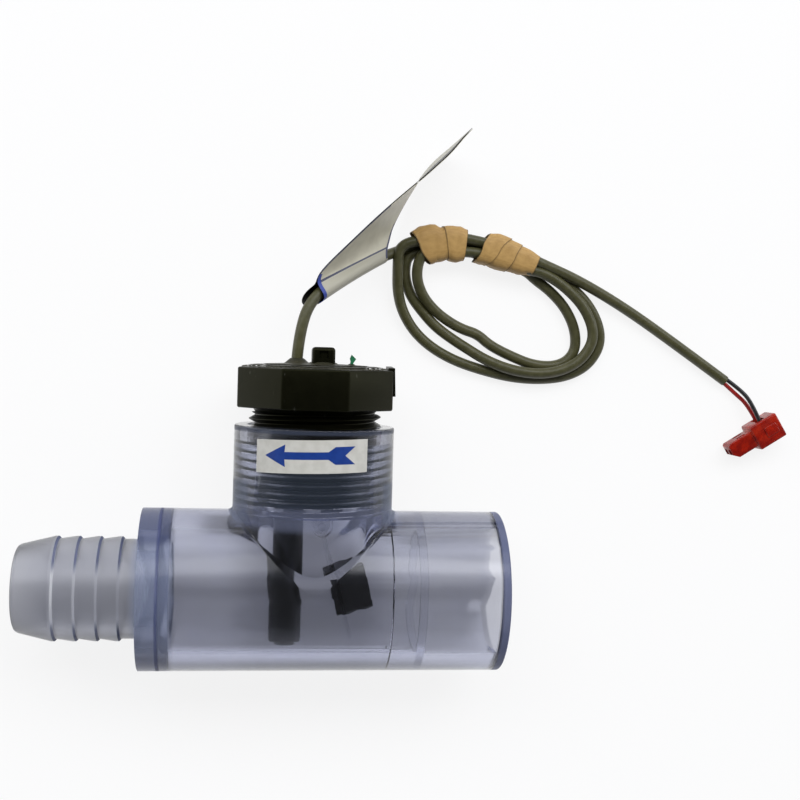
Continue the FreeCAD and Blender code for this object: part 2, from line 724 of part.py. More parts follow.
def cable_tail():
    """Lead from the hank to its stripped end."""
    return cord("cable_tail", TAIL_ROUTE, CABLE_R)


def closed_outline(points, height):
    """Smooth closed outline through points at one height."""
    curve = Part.BSplineCurve()
    curve.interpolate(Points=[V(x, y, height) for x, y in points], PeriodicFlag=True)
    return Part.Wire(curve.toShape())


def cable_coil():
    """Outer shape of the hank: a flat ring as wide as its fanned strands."""
    outer = Part.Face(closed_outline(COIL_OUTER, COIL_BOTTOM))
    inner = Part.Face(closed_outline(COIL_INNER, COIL_BOTTOM))
    rise = Z * (COIL_TOP - COIL_BOTTOM)
    return outer.extrude(rise).cut(inner.extrude(rise))


def coil_tape(outline, coil):
    """Crepe tape wound round one stretch of the hank."""
    ring = [V(x, y, COIL_BOTTOM - TAPE_WRAP) for x, y in outline]
    height = COIL_TOP - COIL_BOTTOM + 2 * TAPE_WRAP
    block = Part.Face(Part.makePolygon(ring + [ring[0]])).extrude(Z * height)
    return block.cut(coil)


def cable_tag():
    """Paper tag: a sleeve folded round the lead and a flag that twists as it leaves."""
    wire, radii = rounded_route(LEAD_ROUTE)
    held = Part.Wire(wire.Edges[4:8])
    sleeve = swept(held, CABLE_R + TAG_WALL).cut(swept(held, CABLE_R))
    middles = [(near + far) * 0.5 for near, far in TAG_FLAG]
    ahead = middles[1:] + middles[-1:]
    behind = middles[:1] + middles[:-1]
    sections = []
    for (near, far), after, before in zip(TAG_FLAG, ahead, behind):
        half_ply = (far - near).cross(after - before).normalize() * (TAG_PAPER / 2.0)
        corners = [near + half_ply, far + half_ply, far - half_ply, near - half_ply]
        sections.append(Part.makePolygon(corners + [corners[0]]))
    flag = Part.makeLoft(sections, True, True)
    return sleeve.fuse(flag.cut(swept(held, CABLE_R))).removeSplitter()


def on_plug(shape):
    """Turn a piece drawn along +X from the plug's rear to where the plug lies."""
    shape.rotate(V(0, 0, 0), Z, PLUG_TURN)
    shape.translate(PLUG_REAR)
    return shape


def cavity(height):
    """Square passage for one contact, open at the nose."""
    return Part.makeBox(
        PLUG_BLOCK + PLUG_NOSE - CAVITY_START, 2 * CAVITY_HALF, 2 * CAVITY_HALF,
        V(CAVITY_START, -CAVITY_HALF, height - CAVITY_HALF),
    )


def connector_housing():
    """Red two-way housing: broad wire block and narrower nose with two contact passages."""
    block = Part.makeBox(
        PLUG_BLOCK, 2 * PLUG_BLOCK_HALF, PLUG_BLOCK_TOP, V(0, -PLUG_BLOCK_HALF, 0)
    )
    block = block.makeFillet(PLUG_EDGE, block.Edges)
    nose = Part.makeBox(
        PLUG_BLOCK, 2 * PLUG_NOSE_HALF, PLUG_NOSE_TOP - PLUG_NOSE_BOTTOM,
        V(PLUG_NOSE, -PLUG_NOSE_HALF, PLUG_NOSE_BOTTOM),
    )
    nose = nose.makeFillet(PLUG_EDGE, nose.Edges)
    body = block.fuse(nose).removeSplitter()
    for height in CONTACT_HEIGHTS:
        body = body.cut(cavity(height))
        slot = Part.makeCylinder(
            WIRE_R, PLUG_BLOCK_HALF, V(WIRE_ENTRY_U, -PLUG_BLOCK_HALF, height), Y
        )
        body = body.cut(slot)
    return on_plug(body)


def connector_contact(height):
    """Tinned contact seated top and bottom in its passage."""
    length = PLUG_BLOCK + PLUG_NOSE - CAVITY_START - 1.0
    return on_plug(
        Part.makeBox(
            length, 2 * CONTACT_HALF, 2 * CAVITY_HALF,
            V(CAVITY_START, -CONTACT_HALF, height - CAVITY_HALF),
        )
    )


def fitting_pieces():
    """Pieces drawn about the crossing of the tee's axes."""
    stem = reed_stem()
    capsule = reed_capsule()
    upper = reed_blade(True)
    lower = reed_blade(False)
    red = inner_lead_red()
    black = inner_lead_black()
    magnet = bias_magnet()
    screw = insert_screw()
    stub = green_wire_stub()
    solid_capsule = cylinder(REED_R, V(REED_X, REED_BOTTOM, 0), V(REED_X, REED_TOP, 0), Y)
    buried = (stem, solid_capsule, upper, lower, red, black, magnet, screw, stub)
    return {
        "tee_body": tee_body(),
        "hose_barb": hose_barb(),
        "flow_arrow_label": flow_arrow_label(),
        "switch_plug": switch_plug(),
        "potting_fill": potting_fill(buried),
        "reed_stem": stem,
        "reed_capsule": capsule,
        "reed_blade_upper": upper,
        "reed_blade_lower": lower,
        "inner_lead_red": red,
        "inner_lead_black": black,
        "bias_magnet": magnet,
        "insert_screw": screw,
        "green_wire_stub": stub,
        "hinge_bracket": hinge_bracket(),
        "pivot_pin": pivot_pin(),
        "paddle_vane": paddle_vane(),
        "magnet_carrier": magnet_carrier(),
        "carrier_keeper": carrier_keeper(),
        "paddle_magnet": paddle_magnet(),
    }


def lead_pieces():
    """Pieces of the lead, drawn where they lie."""
    coil = cable_coil()
    return {
        "cable_lead": cable_lead(),
        "cable_coil": coil,
        "cable_tail": cable_tail(),
        "cable_tag": cable_tag(),
        "coil_tape_left": coil_tape(TAPE_LEFT, coil),
        "coil_tape_right": coil_tape(TAPE_RIGHT, coil),
        "wire_black": cord("wire_black", BLACK_ROUTE, WIRE_R),
        "wire_red": cord("wire_red", RED_ROUTE, WIRE_R),
        "connector_housing": connector_housing(),
        "connector_contact_upper": connector_contact(CONTACT_HEIGHTS[1]),
        "connector_contact_lower": connector_contact(CONTACT_HEIGHTS[0]),
    }


def main():
    """Write every piece to its own file."""
    os.makedirs("parts", exist_ok=True)
    pieces = {name: shape.translated(CROSSING) for name, shape in fitting_pieces().items()}
    pieces.update(lead_pieces())
    for name, shape in pieces.items():
        solids = len(shape.Solids)
        print(f"{name}: valid {shape.isValid()}, solids {solids}, volume {shape.Volume:.1f}")
        shape.exportStep(f"parts/{name}.step")


main()
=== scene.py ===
"""Looks of a paddle flow switch over its CAD frame.

A clear pipe tee carries a hose barb, a threaded black plug with a reed switch and a magnet paddle, and
a lead that is coiled, taped, tagged and ended in a small red connector.
"""

import json
import logging
import math
from contextlib import contextmanager
from dataclasses import dataclass
from enum import Enum
from typing import Iterator, Sequence

import bpy
from mathutils import Matrix, Vector, noise


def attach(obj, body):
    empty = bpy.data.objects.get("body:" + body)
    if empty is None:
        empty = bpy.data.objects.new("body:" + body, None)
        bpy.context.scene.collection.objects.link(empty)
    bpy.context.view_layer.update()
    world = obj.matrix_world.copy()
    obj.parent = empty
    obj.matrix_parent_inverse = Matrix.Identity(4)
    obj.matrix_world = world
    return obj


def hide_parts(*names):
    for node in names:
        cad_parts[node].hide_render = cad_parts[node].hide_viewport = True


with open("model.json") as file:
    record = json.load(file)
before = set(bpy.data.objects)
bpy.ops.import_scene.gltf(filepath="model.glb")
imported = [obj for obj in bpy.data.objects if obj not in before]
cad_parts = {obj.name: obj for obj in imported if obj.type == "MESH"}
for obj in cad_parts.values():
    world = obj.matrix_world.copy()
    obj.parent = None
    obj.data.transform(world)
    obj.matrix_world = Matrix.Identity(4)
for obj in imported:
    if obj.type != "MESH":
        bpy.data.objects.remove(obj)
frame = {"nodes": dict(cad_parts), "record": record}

LOG = logging.getLogger("flow_switch")
MM = 0.001
MERGE = 1e-6
FINE_MERGE = 1e-7
FITTING = "fitting"
CROSSING = Vector((12.7, -21.5, 21.0))
UPRIGHT = Matrix.Rotation(-math.pi / 2, 4, "X")
ALONG_RUN = Matrix.Rotation(math.pi / 2, 4, "Y")

Colour = tuple[float, float, float]
Point = tuple[float, float, float]


class Join(Enum):
    """Ways of combining two solids."""

    WELD = "UNION"
    CUT = "DIFFERENCE"


class Value:
    """A node socket that grows Math nodes as it is added, scaled or compared."""

    def __init__(self, graph: "Graph", socket: bpy.types.NodeSocket) -> None:
        """Keep the socket and the graph it is in."""
        self.graph = graph
        self.socket = socket

    def __add__(self, other: "Value | float") -> "Value":
        """Return the sum of this value and other."""
        return self.graph.math("ADD", self, other)

    def __sub__(self, other: "Value | float") -> "Value":
        """Return this value less other."""
        return self.graph.math("SUBTRACT", self, other)

    def __rsub__(self, other: float) -> "Value":
        """Return other less this value."""
        return self.graph.math("SUBTRACT", other, self)

    def __mul__(self, other: "Value | float") -> "Value":
        """Return the product of this value and other."""
        return self.graph.math("MULTIPLY", self, other)

    def __abs__(self) -> "Value":
        """Return the size of this value without its sign."""
        return self.graph.math("ABSOLUTE", self)

    def __lt__(self, other: "Value | float") -> "Value":
        """Return one where this value is below other, and nought elsewhere."""
        return self.graph.math("LESS_THAN", self, other)

    def __gt__(self, other: "Value | float") -> "Value":
        """Return one where this value is above other, and nought elsewhere."""
        return self.graph.math("GREATER_THAN", self, other)


class Graph:
    """Node graph of one material, all of it made by one generic method."""

    def __init__(self, tree: bpy.types.NodeTree) -> None:
        """Start from an empty tree."""
        self.tree = tree
        tree.nodes.clear()

    def node(self, kind: str, settings: dict | None = None, inputs: dict | None = None) -> bpy.types.Node:
        """Add a node.

        Args:
            kind: Node type name.
            settings: Properties of the node.
            inputs: Values or links by socket name or number.

        Returns:
            The new node.
        """
        made = self.tree.nodes.new(kind)
        for key, value in (settings or {}).items():
            setattr(made, key, value)
        for key, value in (inputs or {}).items():
            if isinstance(value, Value):
                self.tree.links.new(value.socket, made.inputs[key])
            elif isinstance(value, tuple) and len(made.inputs[key].default_value) == 4:
                made.inputs[key].default_value = (*value, 1.0)
            else:
                made.inputs[key].default_value = value
        return made

    def value(self, kind: str, settings: dict | None = None, inputs: dict | None = None,
              output: str | int = 0) -> Value:
        """Add a node and return one of its outputs."""
        return Value(self, self.node(kind, settings, inputs).outputs[output])

    def math(self, operation: str, *values: "Value | float") -> Value:
        """Add a Math node with its operands in order."""
        return self.value("ShaderNodeMath", {"operation": operation}, dict(enumerate(values)))

    def mix(self, share: "Value | float", first: "Value | Colour", second: "Value | Colour") -> Value:
        """Blend two colours by the share of the second."""
        return self.value("ShaderNodeMix", {"data_type": "RGBA"}, {0: share, 6: first, 7: second}, 2)

    def ramp(self, value: Value, low: float, high: float, start: float = 0.0, end: float = 1.0) -> Value:
        """Ease a value from start, at low and below, to end, at high and above."""
        inputs = {0: value, 1: low, 2: high, 3: start, 4: end}
        return self.value("ShaderNodeMapRange", {"interpolation_type": "SMOOTHSTEP"}, inputs)

    def band(self, value: Value, low: float, rise: float, fall: float, high: float) -> Value:
        """Ease a value up to one from low to rise, and down to nought from fall to high."""
        return self.ramp(value, low, rise) * self.ramp(value, fall, high, 1.0, 0.0)

    def place(self, stretch: Point = (1.0, 1.0, 1.0)) -> Value:
        """Give the object coordinates in millimetres.

        Args:
            stretch: Factor on each axis.

        Returns:
            The coordinates as a vector.
        """
        here = self.value("ShaderNodeTexCoord", None, None, "Object")
        factors = tuple(share / MM for share in stretch)
        return self.value("ShaderNodeVectorMath", {"operation": "MULTIPLY"}, {0: here, 1: factors})

    def sheet(self, stretch: Point = (1.0, 1.0, 1.0)) -> Value:
        """Give the piece's own sheet coordinates."""
        here = self.value("ShaderNodeUVMap", {"uv_map": "sheet"})
        return self.value("ShaderNodeVectorMath", {"operation": "MULTIPLY"}, {0: here, 1: stretch})

    def axis(self, vector: Value, number: int) -> Value:
        """Take one component of a vector, counted from nought."""
        return self.value("ShaderNodeSeparateXYZ", None, {0: vector}, number)

    def cloud(self, vector: Value, grain: float, detail: float = 3.0) -> Value:
        """Give noise from nought to one, with lumps of a size in millimetres and octaves of finer noise."""
        inputs = {"Vector": vector, "Scale": 1.0 / grain, "Detail": detail}
        return self.value("ShaderNodeTexNoise", None, inputs)

    def bump(self, height: Value, depth: float) -> Value:
        """Turn heights from nought to one into a normal, with the depth in millimetres."""
        return self.value("ShaderNodeBump", None, {"Height": height, "Distance": depth * MM, "Strength": 1.0})

    def ray(self, kind: str) -> Value:
        """Give one for rays of a kind, and nought for the rest."""
        return self.value("ShaderNodeLightPath", None, None, f"Is {kind} Ray")

    def matt(self, colour: "Value | Colour") -> Value:
        """Give a matt shader of a colour."""
        return self.value("ShaderNodeBsdfDiffuse", None, {"Color": colour})

    def blend(self, share: Value, first: Value, second: Value) -> Value:
        """Blend two shaders by the share of the second."""
        return self.value("ShaderNodeMixShader", None, {0: share, 1: first, 2: second})


@dataclass(frozen=True)
class Finish:
    """A mottled finish with uneven gloss and a fine grain."""

    slot: str
    colour: Colour
    mottle: Colour
    mottle_size: float = 3.0
    roughness: float = 0.4
    unevenness: float = 0.12
    grain_size: float = 0.25
    grain_depth: float = 0.004
    metallic: float = 0.0
    constants: tuple[tuple[str, object], ...] = ()

    def tint(self, graph: Graph) -> Value:
        """Colour of the surface."""
        lumps = graph.cloud(graph.place(), self.mottle_size)
        return graph.mix(graph.ramp(lumps, 0.35, 0.65), self.colour, self.mottle)

    def gloss(self, graph: Graph) -> Value:
        """Roughness of the surface."""
        lumps = graph.cloud(graph.place(), self.mottle_size * 0.6, 4.0)
        return lumps * self.unevenness + (self.roughness - self.unevenness / 2)

    def relief(self, graph: Graph) -> Value:
        """Fine shape of the surface."""
        return graph.bump(graph.cloud(graph.place(), self.grain_size, 2.0), self.grain_depth)

    def inside(self, graph: Graph) -> Value | None:
        """What light meets inside the piece, which is nothing unless it is clear."""
        return None

    def cover(self, graph: Graph, surface: Value) -> Value:
        """Give the shader to show over the plain surface."""
        return surface

    def make(self) -> bpy.types.Material:
        """Build the material.

        Returns:
            The material, named after the slot.
        """
        material = bpy.data.materials.new(self.slot + "_look")
        material.use_nodes = True
        graph = Graph(material.node_tree)
        inputs = {"Base Color": self.tint(graph), "Roughness": self.gloss(graph), "Metallic": self.metallic}
        inputs["Normal"] = self.relief(graph)
        inputs.update(dict(self.constants))
        outputs = {"Surface": self.cover(graph, graph.value("ShaderNodeBsdfPrincipled", None, inputs))}
        inside = self.inside(graph)
        if inside is not None:
            outputs["Volume"] = inside
        graph.node("ShaderNodeOutputMaterial", None, outputs)
        return material


@dataclass(frozen=True)
class PaintedZone:
    """Zone of a clear moulding painted with a matt colour, mostly as painted light and shade in place of what
    refraction shows there, in a box and within a radius of the neck's axis.
    """

    colour: Colour
    share: float
    low: Point
    high: Point
    soft: float = 0.25
    within: float = 0.0

    def mask(self, graph: Graph) -> Value:
        """Find how strong the painted colour is.

        Args:
            graph: Graph of the material.

        Returns:
            Share of painted colour at each place.
        """
        here = graph.place()
        axes = [graph.axis(here, number) for number in range(3)]
        share: Value | float = self.share
        for along, low, high in zip(axes, self.low, self.high):
            bounds = (low - self.soft, low + self.soft, high - self.soft, high + self.soft)
            share = graph.band(along, *bounds) * share
        if self.within:
            aside = axes[0] - CROSSING.x
            deep = axes[2] - CROSSING.z
            share = share * (aside * aside + deep * deep < self.within * self.within)
        return share


@dataclass(frozen=True)
class ClearFinish(Finish):
    """Clear moulding that takes up light along its path."""

    absorbed: Colour = (0.3, 0.35, 0.55)
    density: float = 120.0
    painted_zones: tuple[PaintedZone, ...] = ()

    def cover(self, graph: Graph, surface: Value) -> Value:
        """Paint matt zones over the surface: painted light and shade on cut edges and machined faces, in
        place of the light that the wall carries to them, and the dark line of the glued joint.

        Args:
            graph: Graph of the material.
            surface: Shader of the plain surface.

        Returns:
            The shader to show.
        """
        for painted_zone in self.painted_zones:
            surface = graph.blend(painted_zone.mask(graph), surface, graph.matt(painted_zone.colour))
        return surface

    def inside(self, graph: Graph) -> Value | None:
        """Take up light by depth."""
        inputs = {"Color": self.absorbed, "Density": self.density}
        return graph.value("ShaderNodeVolumeAbsorption", None, inputs)


@dataclass(frozen=True)
class HazyFinish(ClearFinish):
    """Clear moulding whose barbed end is hazed and whose collar is polished, with painted shade on the steep
    side of each ridge.
    """

    haze_end: float = -31.4
    haze_edge: float = 0.3
    haze: float = 0.3
    haze_size: float = 2.0
    hazed: Colour = (0.88, 0.885, 0.91)
    lee_shade: Colour = (0.065, 0.085, 0.18)
    lee_shade_share: float = 0.75
    lee_shade_along: tuple[float, float, float, float] = (0.2, 0.4, 0.75, 1.0)
    lee_shade_aside: tuple[float, float] = (5.0, 9.0)
    first_crest: float = -52.7
    pitch: float = 5.4

    def cover(self, graph: Graph, surface: Value) -> Value:
        """Paint shade on the steep side of each ridge towards the barb's outline.

        Args:
            graph: Graph of the material.
            surface: Shader of the plain surface.

        Returns:
            The shader to show.
        """
        along = graph.axis(graph.place(), 0)
        past = graph.math("FLOORED_MODULO", along - self.first_crest, self.pitch)
        aside = abs(graph.axis(graph.place(), 1) - CROSSING.y)
        # Painted shade on the steep side of each ridge.
        share = graph.band(past, *self.lee_shade_along) * graph.ramp(aside, *self.lee_shade_aside)
        share = share * (along < self.haze_end) * (along > self.first_crest) * self.lee_shade_share
        return super().cover(graph, graph.blend(share, surface, graph.matt(self.lee_shade)))

    def polished(self, graph: Graph, start: float = 0.0, end: float = 1.0) -> Value:
        """Ease from start on the hazed end to end on the collar."""
        bounds = (self.haze_end - self.haze_edge, self.haze_end + self.haze_edge)
        return graph.ramp(graph.axis(graph.place(), 0), *bounds, start, end)

    def tint(self, graph: Graph) -> Value:
        """Colour that is greyer on the hazed end."""
        return graph.mix(self.polished(graph), self.hazed, super().tint(graph))

    def gloss(self, graph: Graph) -> Value:
        """Roughness that drops at the collar."""
        lumps = graph.cloud(graph.place(), self.haze_size)
        return self.polished(graph, self.haze, self.roughness) + (lumps - 0.5) * self.unevenness


@dataclass(frozen=True)
class ScuffedFinish(Finish):
    """Dark moulding with pale scuffs."""

    scuff: Colour = (0.08, 0.08, 0.07)
    scuff_stretch: Point = (1.0, 0.25, 1.0)
    scuff_size: float = 0.7
    scuff_bounds: tuple[float, float] = (0.64, 0.76)
    patch_size: float = 6.0
    patch_bounds: tuple[float, float] = (0.56, 0.7)

    def tint(self, graph: Graph) -> Value:
        """Colour with thin scuffs.

        Args:
            graph: Graph of the material.

        Returns:
            The colour.
        """
        base = super().tint(graph)
        scratch = graph.cloud(graph.place(self.scuff_stretch), self.scuff_size, 5.0)
        patch = graph.cloud(graph.place(), self.patch_size, 1.0)
        share = graph.ramp(scratch, *self.scuff_bounds) * graph.ramp(patch, *self.patch_bounds)
        return graph.mix(share, base, self.scuff)


@dataclass(frozen=True)
class CrepeFinish(Finish):
    """Creped paper tape with wrinkles across its length, painted shade in its creases and painted shade along
    the edges of each turn.
    """

    wrinkle: float = 0.55
    edge_shade: Colour = (0.07, 0.045, 0.015)
    edge_shade_share: float = 0.75
    first_edge: tuple[float, float] = (0.1, 0.45)
    last_edge: tuple[float, float] = (9.55, 9.9)

    def wrinkles(self, graph: Graph) -> Value:
        """Height of the creping.

        Args:
            graph: Graph of the material.

        Returns:
            Height from nought to one.
        """
        fine = graph.cloud(graph.sheet((1.0, 0.22, 1.0)), self.wrinkle, 4.0)
        broad = graph.cloud(graph.sheet((1.0, 0.3, 1.0)), self.wrinkle * 4.0, 2.0)
        return fine * 0.7 + broad * 0.3

    def tint(self, graph: Graph) -> Value:
        """Colour with painted shade in the creases and painted shade along both edges of each turn.

        Args:
            graph: Graph of the material.

        Returns:
            The colour.
        """
        # Painted shade: the darker mottle colour fills the creases.
        paper = graph.mix(graph.ramp(self.wrinkles(graph), 0.3, 0.7), self.mottle, self.colour)
        across = graph.axis(graph.sheet(), 1)
        # Painted shade along both edges of each turn, where the turns overlap.
        edge = graph.ramp(across, *self.first_edge, self.edge_shade_share, 0.0)
        edge = edge + graph.ramp(across, *self.last_edge, 0.0, self.edge_shade_share)
        return graph.mix(edge, paper, self.edge_shade)

    def relief(self, graph: Graph) -> Value:
        """Creped surface."""
        return graph.bump(self.wrinkles(graph), self.grain_depth)


@dataclass(frozen=True)
class RuledFinish(Finish):
    """Coated paper with printed borders and one rule, painted shadow inside its mouth, painted shade on its
    loop and back ply, and thin painted shade lines along its edges.
    """

    ink: Colour = (0.025, 0.05, 0.27)
    line: Colour = (0.014, 0.022, 0.085)
    folded: Colour = (0.39, 0.375, 0.3)
    mouth_shade: Colour = (0.004, 0.004, 0.003)
    border: float = 0.9
    width: float = 21.5
    rule: float = 0.3
    rule_half: float = 0.36
    border_span: tuple[float, float] = (-8.0, 2.2)
    far_rim: float = 0.6
    far_span: tuple[float, float] = (-4.0, 11.0)
    paper_edge_shade: tuple[float, float] = (0.25, 0.3)
    paper_edge_shade_end: float = 22.0
    ink_share: float = 0.9
    mouth: float = -7.0
    mouth_depth: tuple[float, float] = (5.0, 8.5)
    fold: float = 0.8

    def tint(self, graph: Graph) -> Value:
        """Paper with ink on it, painted shade on the loop and back ply, painted shade lines along the edges
        and painted shadow inside the mouth.

        Args:
            graph: Graph of the material.

        Returns:
            The colour.
        """
        across = graph.axis(graph.sheet(), 0)
        along = graph.axis(graph.sheet(), 1)
        # Painted shade: the loop and the back ply take the darker folded colour.
        paper = graph.mix(graph.ramp(along, -self.fold, self.fold), self.folded, super().tint(graph))
        border_start, border_end = self.border_span
        near = (across < self.border) * (along < border_end) * (along > border_start)
        ruled = abs(along - self.rule) < self.rule_half
        far_start, far_end = self.far_span
        far = (across > self.width - self.far_rim) * (along < far_end) * (along > far_start)
        # Thin painted shade lines along both edges of the strip, in the line colour that also prints the
        # rules.
        paper_edge_shade = (across < self.paper_edge_shade[0]) + (across > self.width - self.paper_edge_shade[1])
        shaded_edges = paper_edge_shade * (along > border_end) * (along < self.paper_edge_shade_end)
        lined = graph.math("MINIMUM", shaded_edges + ruled + far, self.ink_share)
        # Painted shadow inside the mouth of the loop, where the cable enters.
        dark = (along < self.mouth) * graph.ramp(across, *self.mouth_depth, 1.0, 0.0)
        inked = graph.mix(near, graph.mix(lined, paper, self.line), self.ink)
        return graph.mix(dark, inked, self.mouth_shade)


@dataclass(frozen=True)
class VaneFinish(ClearFinish):
    """Clear vane that is dark where the magnet carrier clamps it."""

    pivot: tuple[float, float] = (14.9, -3.9)
    tilt: float = 15.2
    clamped: tuple[float, float] = (13.6, 23.2)
    hidden: Colour = (0.004, 0.004, 0.004)

    def tint(self, graph: Graph) -> Value:
        """Colour by the distance down the vane.

        Args:
            graph: Graph of the material.

        Returns:
            The colour.
        """
        here = graph.place()
        lean = math.radians(self.tilt)
        down = (graph.axis(here, 0) - self.pivot[0]) * math.sin(lean)
        down = down - (graph.axis(here, 1) - self.pivot[1]) * math.cos(lean)
        held = (down > self.clamped[0]) * (down < self.clamped[1])
        return graph.mix(held, super().tint(graph), self.hidden)


class Palette:
    """Every finish of the part by its slot, made into materials when first asked for."""

    def __init__(self, finishes: Sequence[Finish]) -> None:
        """Keep the finishes."""
        self.finishes = {finish.slot: finish for finish in finishes}
        self.made: dict[str, bpy.types.Material] = {}

    def material(self, slot: str) -> bpy.types.Material:
        """Give the material of a slot.

        Args:
            slot: Slot name.

        Returns:
            The material.
        """
        if slot not in self.made:
            self.made[slot] = self.finishes[slot].make()
        return self.made[slot]


CLEAR = (("Transmission Weight", 1.0), ("IOR", 1.53))
BARELY_BENDING = (("Transmission Weight", 1.0), ("IOR", 1.025))
# Painted light on the cut edge of the slip socket: a blue-grey tone in place of the light that refraction
# brings there.
MOUTH_RIM_PAINTED_LIGHT = PaintedZone((0.16, 0.18, 0.29), 0.65, (60.4, -60, 19), (70, 20, 60), 0.4)
# Painted light and shade on the neck: painted light grey on its top on either side, painted shade on its rim,
# painted blue-grey in the corners beside its root, painted pale blue light on the root and a faint painted
# reflection over the threaded part.
NECK_PAINTED_LIGHT_AND_SHADE = (
    PaintedZone((0.3, 0.32, 0.34), 0.55, (-12, 17.7, 18), (9, 21.3, 60), 2.5, 17.9),
    PaintedZone((0.3, 0.32, 0.34), 0.6, (29, 17.7, 18), (40, 21.3, 60), 2.0, 17.9),
    PaintedZone((0.05, 0.06, 0.09), 0.6, (-12, 20.6, 22), (40, 21.6, 60)),
    PaintedZone((0.12, 0.14, 0.19), 0.5, (-10, -2.5, 5), (-4.5, 8, 60), 0.8, 21.9),
    PaintedZone((0.12, 0.14, 0.19), 0.5, (29.9, -2.5, 5), (36, 8, 60), 0.8, 21.9),
    PaintedZone((0.34, 0.38, 0.56), 0.17, (-9, -3.4, 20), (35, 2.0, 60), 1.2),
    PaintedZone((0.18, 0.24, 0.34), 0.07, (-9, 2.0, 20), (35, 17.7, 60), 1.0),
)
# Painted light on the middle of the collar, painted blue shade on its upper and lower shoulders, and a dark
# line at the glued joint.
COLLAR_PAINTED_LIGHT_SHADE_AND_JOINT = (
    PaintedZone((0.5, 0.58, 0.84), 0.18, (-33, -35.5, 10), (-22.7, -7.5, 60), 1.0),
    PaintedZone((0.12, 0.15, 0.3), 0.3, (-33, -7.5, 10), (-23.2, 20, 60), 1.0),
    PaintedZone((0.12, 0.15, 0.3), 0.3, (-33, -60, 10), (-23.2, -35.5, 60), 1.0),
    PaintedZone((0.05, 0.06, 0.15), 0.6, (-26.5, -60, 10), (-25.7, 20, 60), 0.15),
)
PALETTE = Palette((
    ClearFinish("clear_pvc", (1.0, 1.0, 1.0), (0.98, 0.98, 1.0), 8.0, 0.06, 0.03, 6.0, 0.01,
                constants=CLEAR, absorbed=(0.39, 0.425, 0.6), density=100.0,
                painted_zones=(MOUTH_RIM_PAINTED_LIGHT, *NECK_PAINTED_LIGHT_AND_SHADE, *COLLAR_PAINTED_LIGHT_SHADE_AND_JOINT)),
    HazyFinish("milky_pvc", (0.94, 0.97, 1.0), (0.92, 0.95, 1.0), 5.0, 0.05, 0.06, 0.6, 0.01,
               constants=CLEAR, absorbed=(0.39, 0.41, 0.52), density=86.0, painted_zones=COLLAR_PAINTED_LIGHT_SHADE_AND_JOINT),
    Finish("label_paper", (0.57, 0.56, 0.51), (0.51, 0.5, 0.45), 2.5, 0.45, 0.1, 0.2, 0.003),
    Finish("arrow_ink", (0.004, 0.031, 0.2), (0.006, 0.039, 0.23), 1.5, 0.4, 0.1),
    ScuffedFinish("black_plastic", (0.002, 0.002, 0.001), (0.003, 0.003, 0.0015), 4.0, 0.34, 0.14, 0.3, 0.006,
                  constants=(("Specular IOR Level", 0.18), ("Specular Tint", (1.0, 1.0, 0.5)))),
    Finish("inner_black", (0.015, 0.015, 0.013), (0.022, 0.022, 0.018), 3.0, 0.4, 0.14, 0.3, 0.006),
    Finish("dark_resin", (0.022, 0.021, 0.014), (0.035, 0.033, 0.02), 3.0, 0.48, 0.1, 2.4, 0.003,
           constants=(("Specular IOR Level", 0.2), ("Specular Tint", (1.0, 1.0, 0.7)))),
    Finish("reed_glass", (0.9, 0.95, 0.92), (0.88, 0.94, 0.9), 3.0, 0.03, 0.02, constants=CLEAR),
    Finish("reed_metal", (0.6, 0.59, 0.56), (0.52, 0.52, 0.5), 1.0, 0.28, 0.12, metallic=1.0),
    Finish("red_insulation", (0.32, 0.012, 0.008), (0.26, 0.01, 0.008), 1.5, 0.32, 0.1),
    Finish("black_insulation", (0.012, 0.012, 0.012), (0.018, 0.018, 0.018), 1.5, 0.3, 0.1),
    Finish("magnet", (0.035, 0.035, 0.036), (0.05, 0.05, 0.05), 0.6, 0.55, 0.16, 0.2, 0.02),
    Finish("green_insulation", (0.012, 0.12, 0.05), (0.02, 0.16, 0.07), 0.8, 0.35, 0.1),
    VaneFinish("vane_plastic", (1.0, 1.0, 1.0), (0.97, 0.97, 0.98), 4.0, 0.04, 0.03, 3.0, 0.008,
               constants=BARELY_BENDING, absorbed=(0.4, 0.42, 0.5), density=12.0),
    Finish("cable_jacket", (0.055, 0.053, 0.02), (0.07, 0.067, 0.028), 1.8, 0.38, 0.14, 0.35, 0.012),
    RuledFinish("tag_paper", (0.58, 0.55, 0.43), (0.53, 0.5, 0.39), 3.5, 0.42, 0.1, 0.3, 0.006),
    CrepeFinish("crepe_tape", (0.46, 0.285, 0.095), (0.37, 0.22, 0.07), 2.0, 0.55, 0.1, 0.3, 0.04),
    Finish("red_nylon", (0.45, 0.014, 0.002), (0.28, 0.006, 0.002), 2.5, 0.24, 0.08,
           constants=(("Transmission Weight", 0.35), ("IOR", 1.5), ("Specular IOR Level", 0.3))),
    Finish("tinned_contact", (0.72, 0.7, 0.66), (0.62, 0.6, 0.56), 0.8, 0.25, 0.12, metallic=1.0),
))


def bounded(share: float) -> float:
    """Hold a share between nought and one."""
    return min(1.0, max(0.0, share))


def activate(obj: bpy.types.Object) -> None:
    """Select one object only and make it the active one.

    Args:
        obj: Object to work on.
    """
    bpy.ops.object.select_all(action="DESELECT")
    obj.select_set(True)
    bpy.context.view_layer.objects.active = obj


@contextmanager
def editing(obj: bpy.types.Object) -> Iterator[None]:
    """Work on an object in edit mode with all of it selected.

    Args:
        obj: Object to edit.

    Yields:
        Nothing; the mode is left again afterwards.
    """
    activate(obj)
    bpy.ops.object.mode_set(mode="EDIT")
    bpy.ops.mesh.select_mode(type="VERT")
    bpy.ops.mesh.select_all(action="SELECT")
    yield
    bpy.ops.object.mode_set(mode="OBJECT")


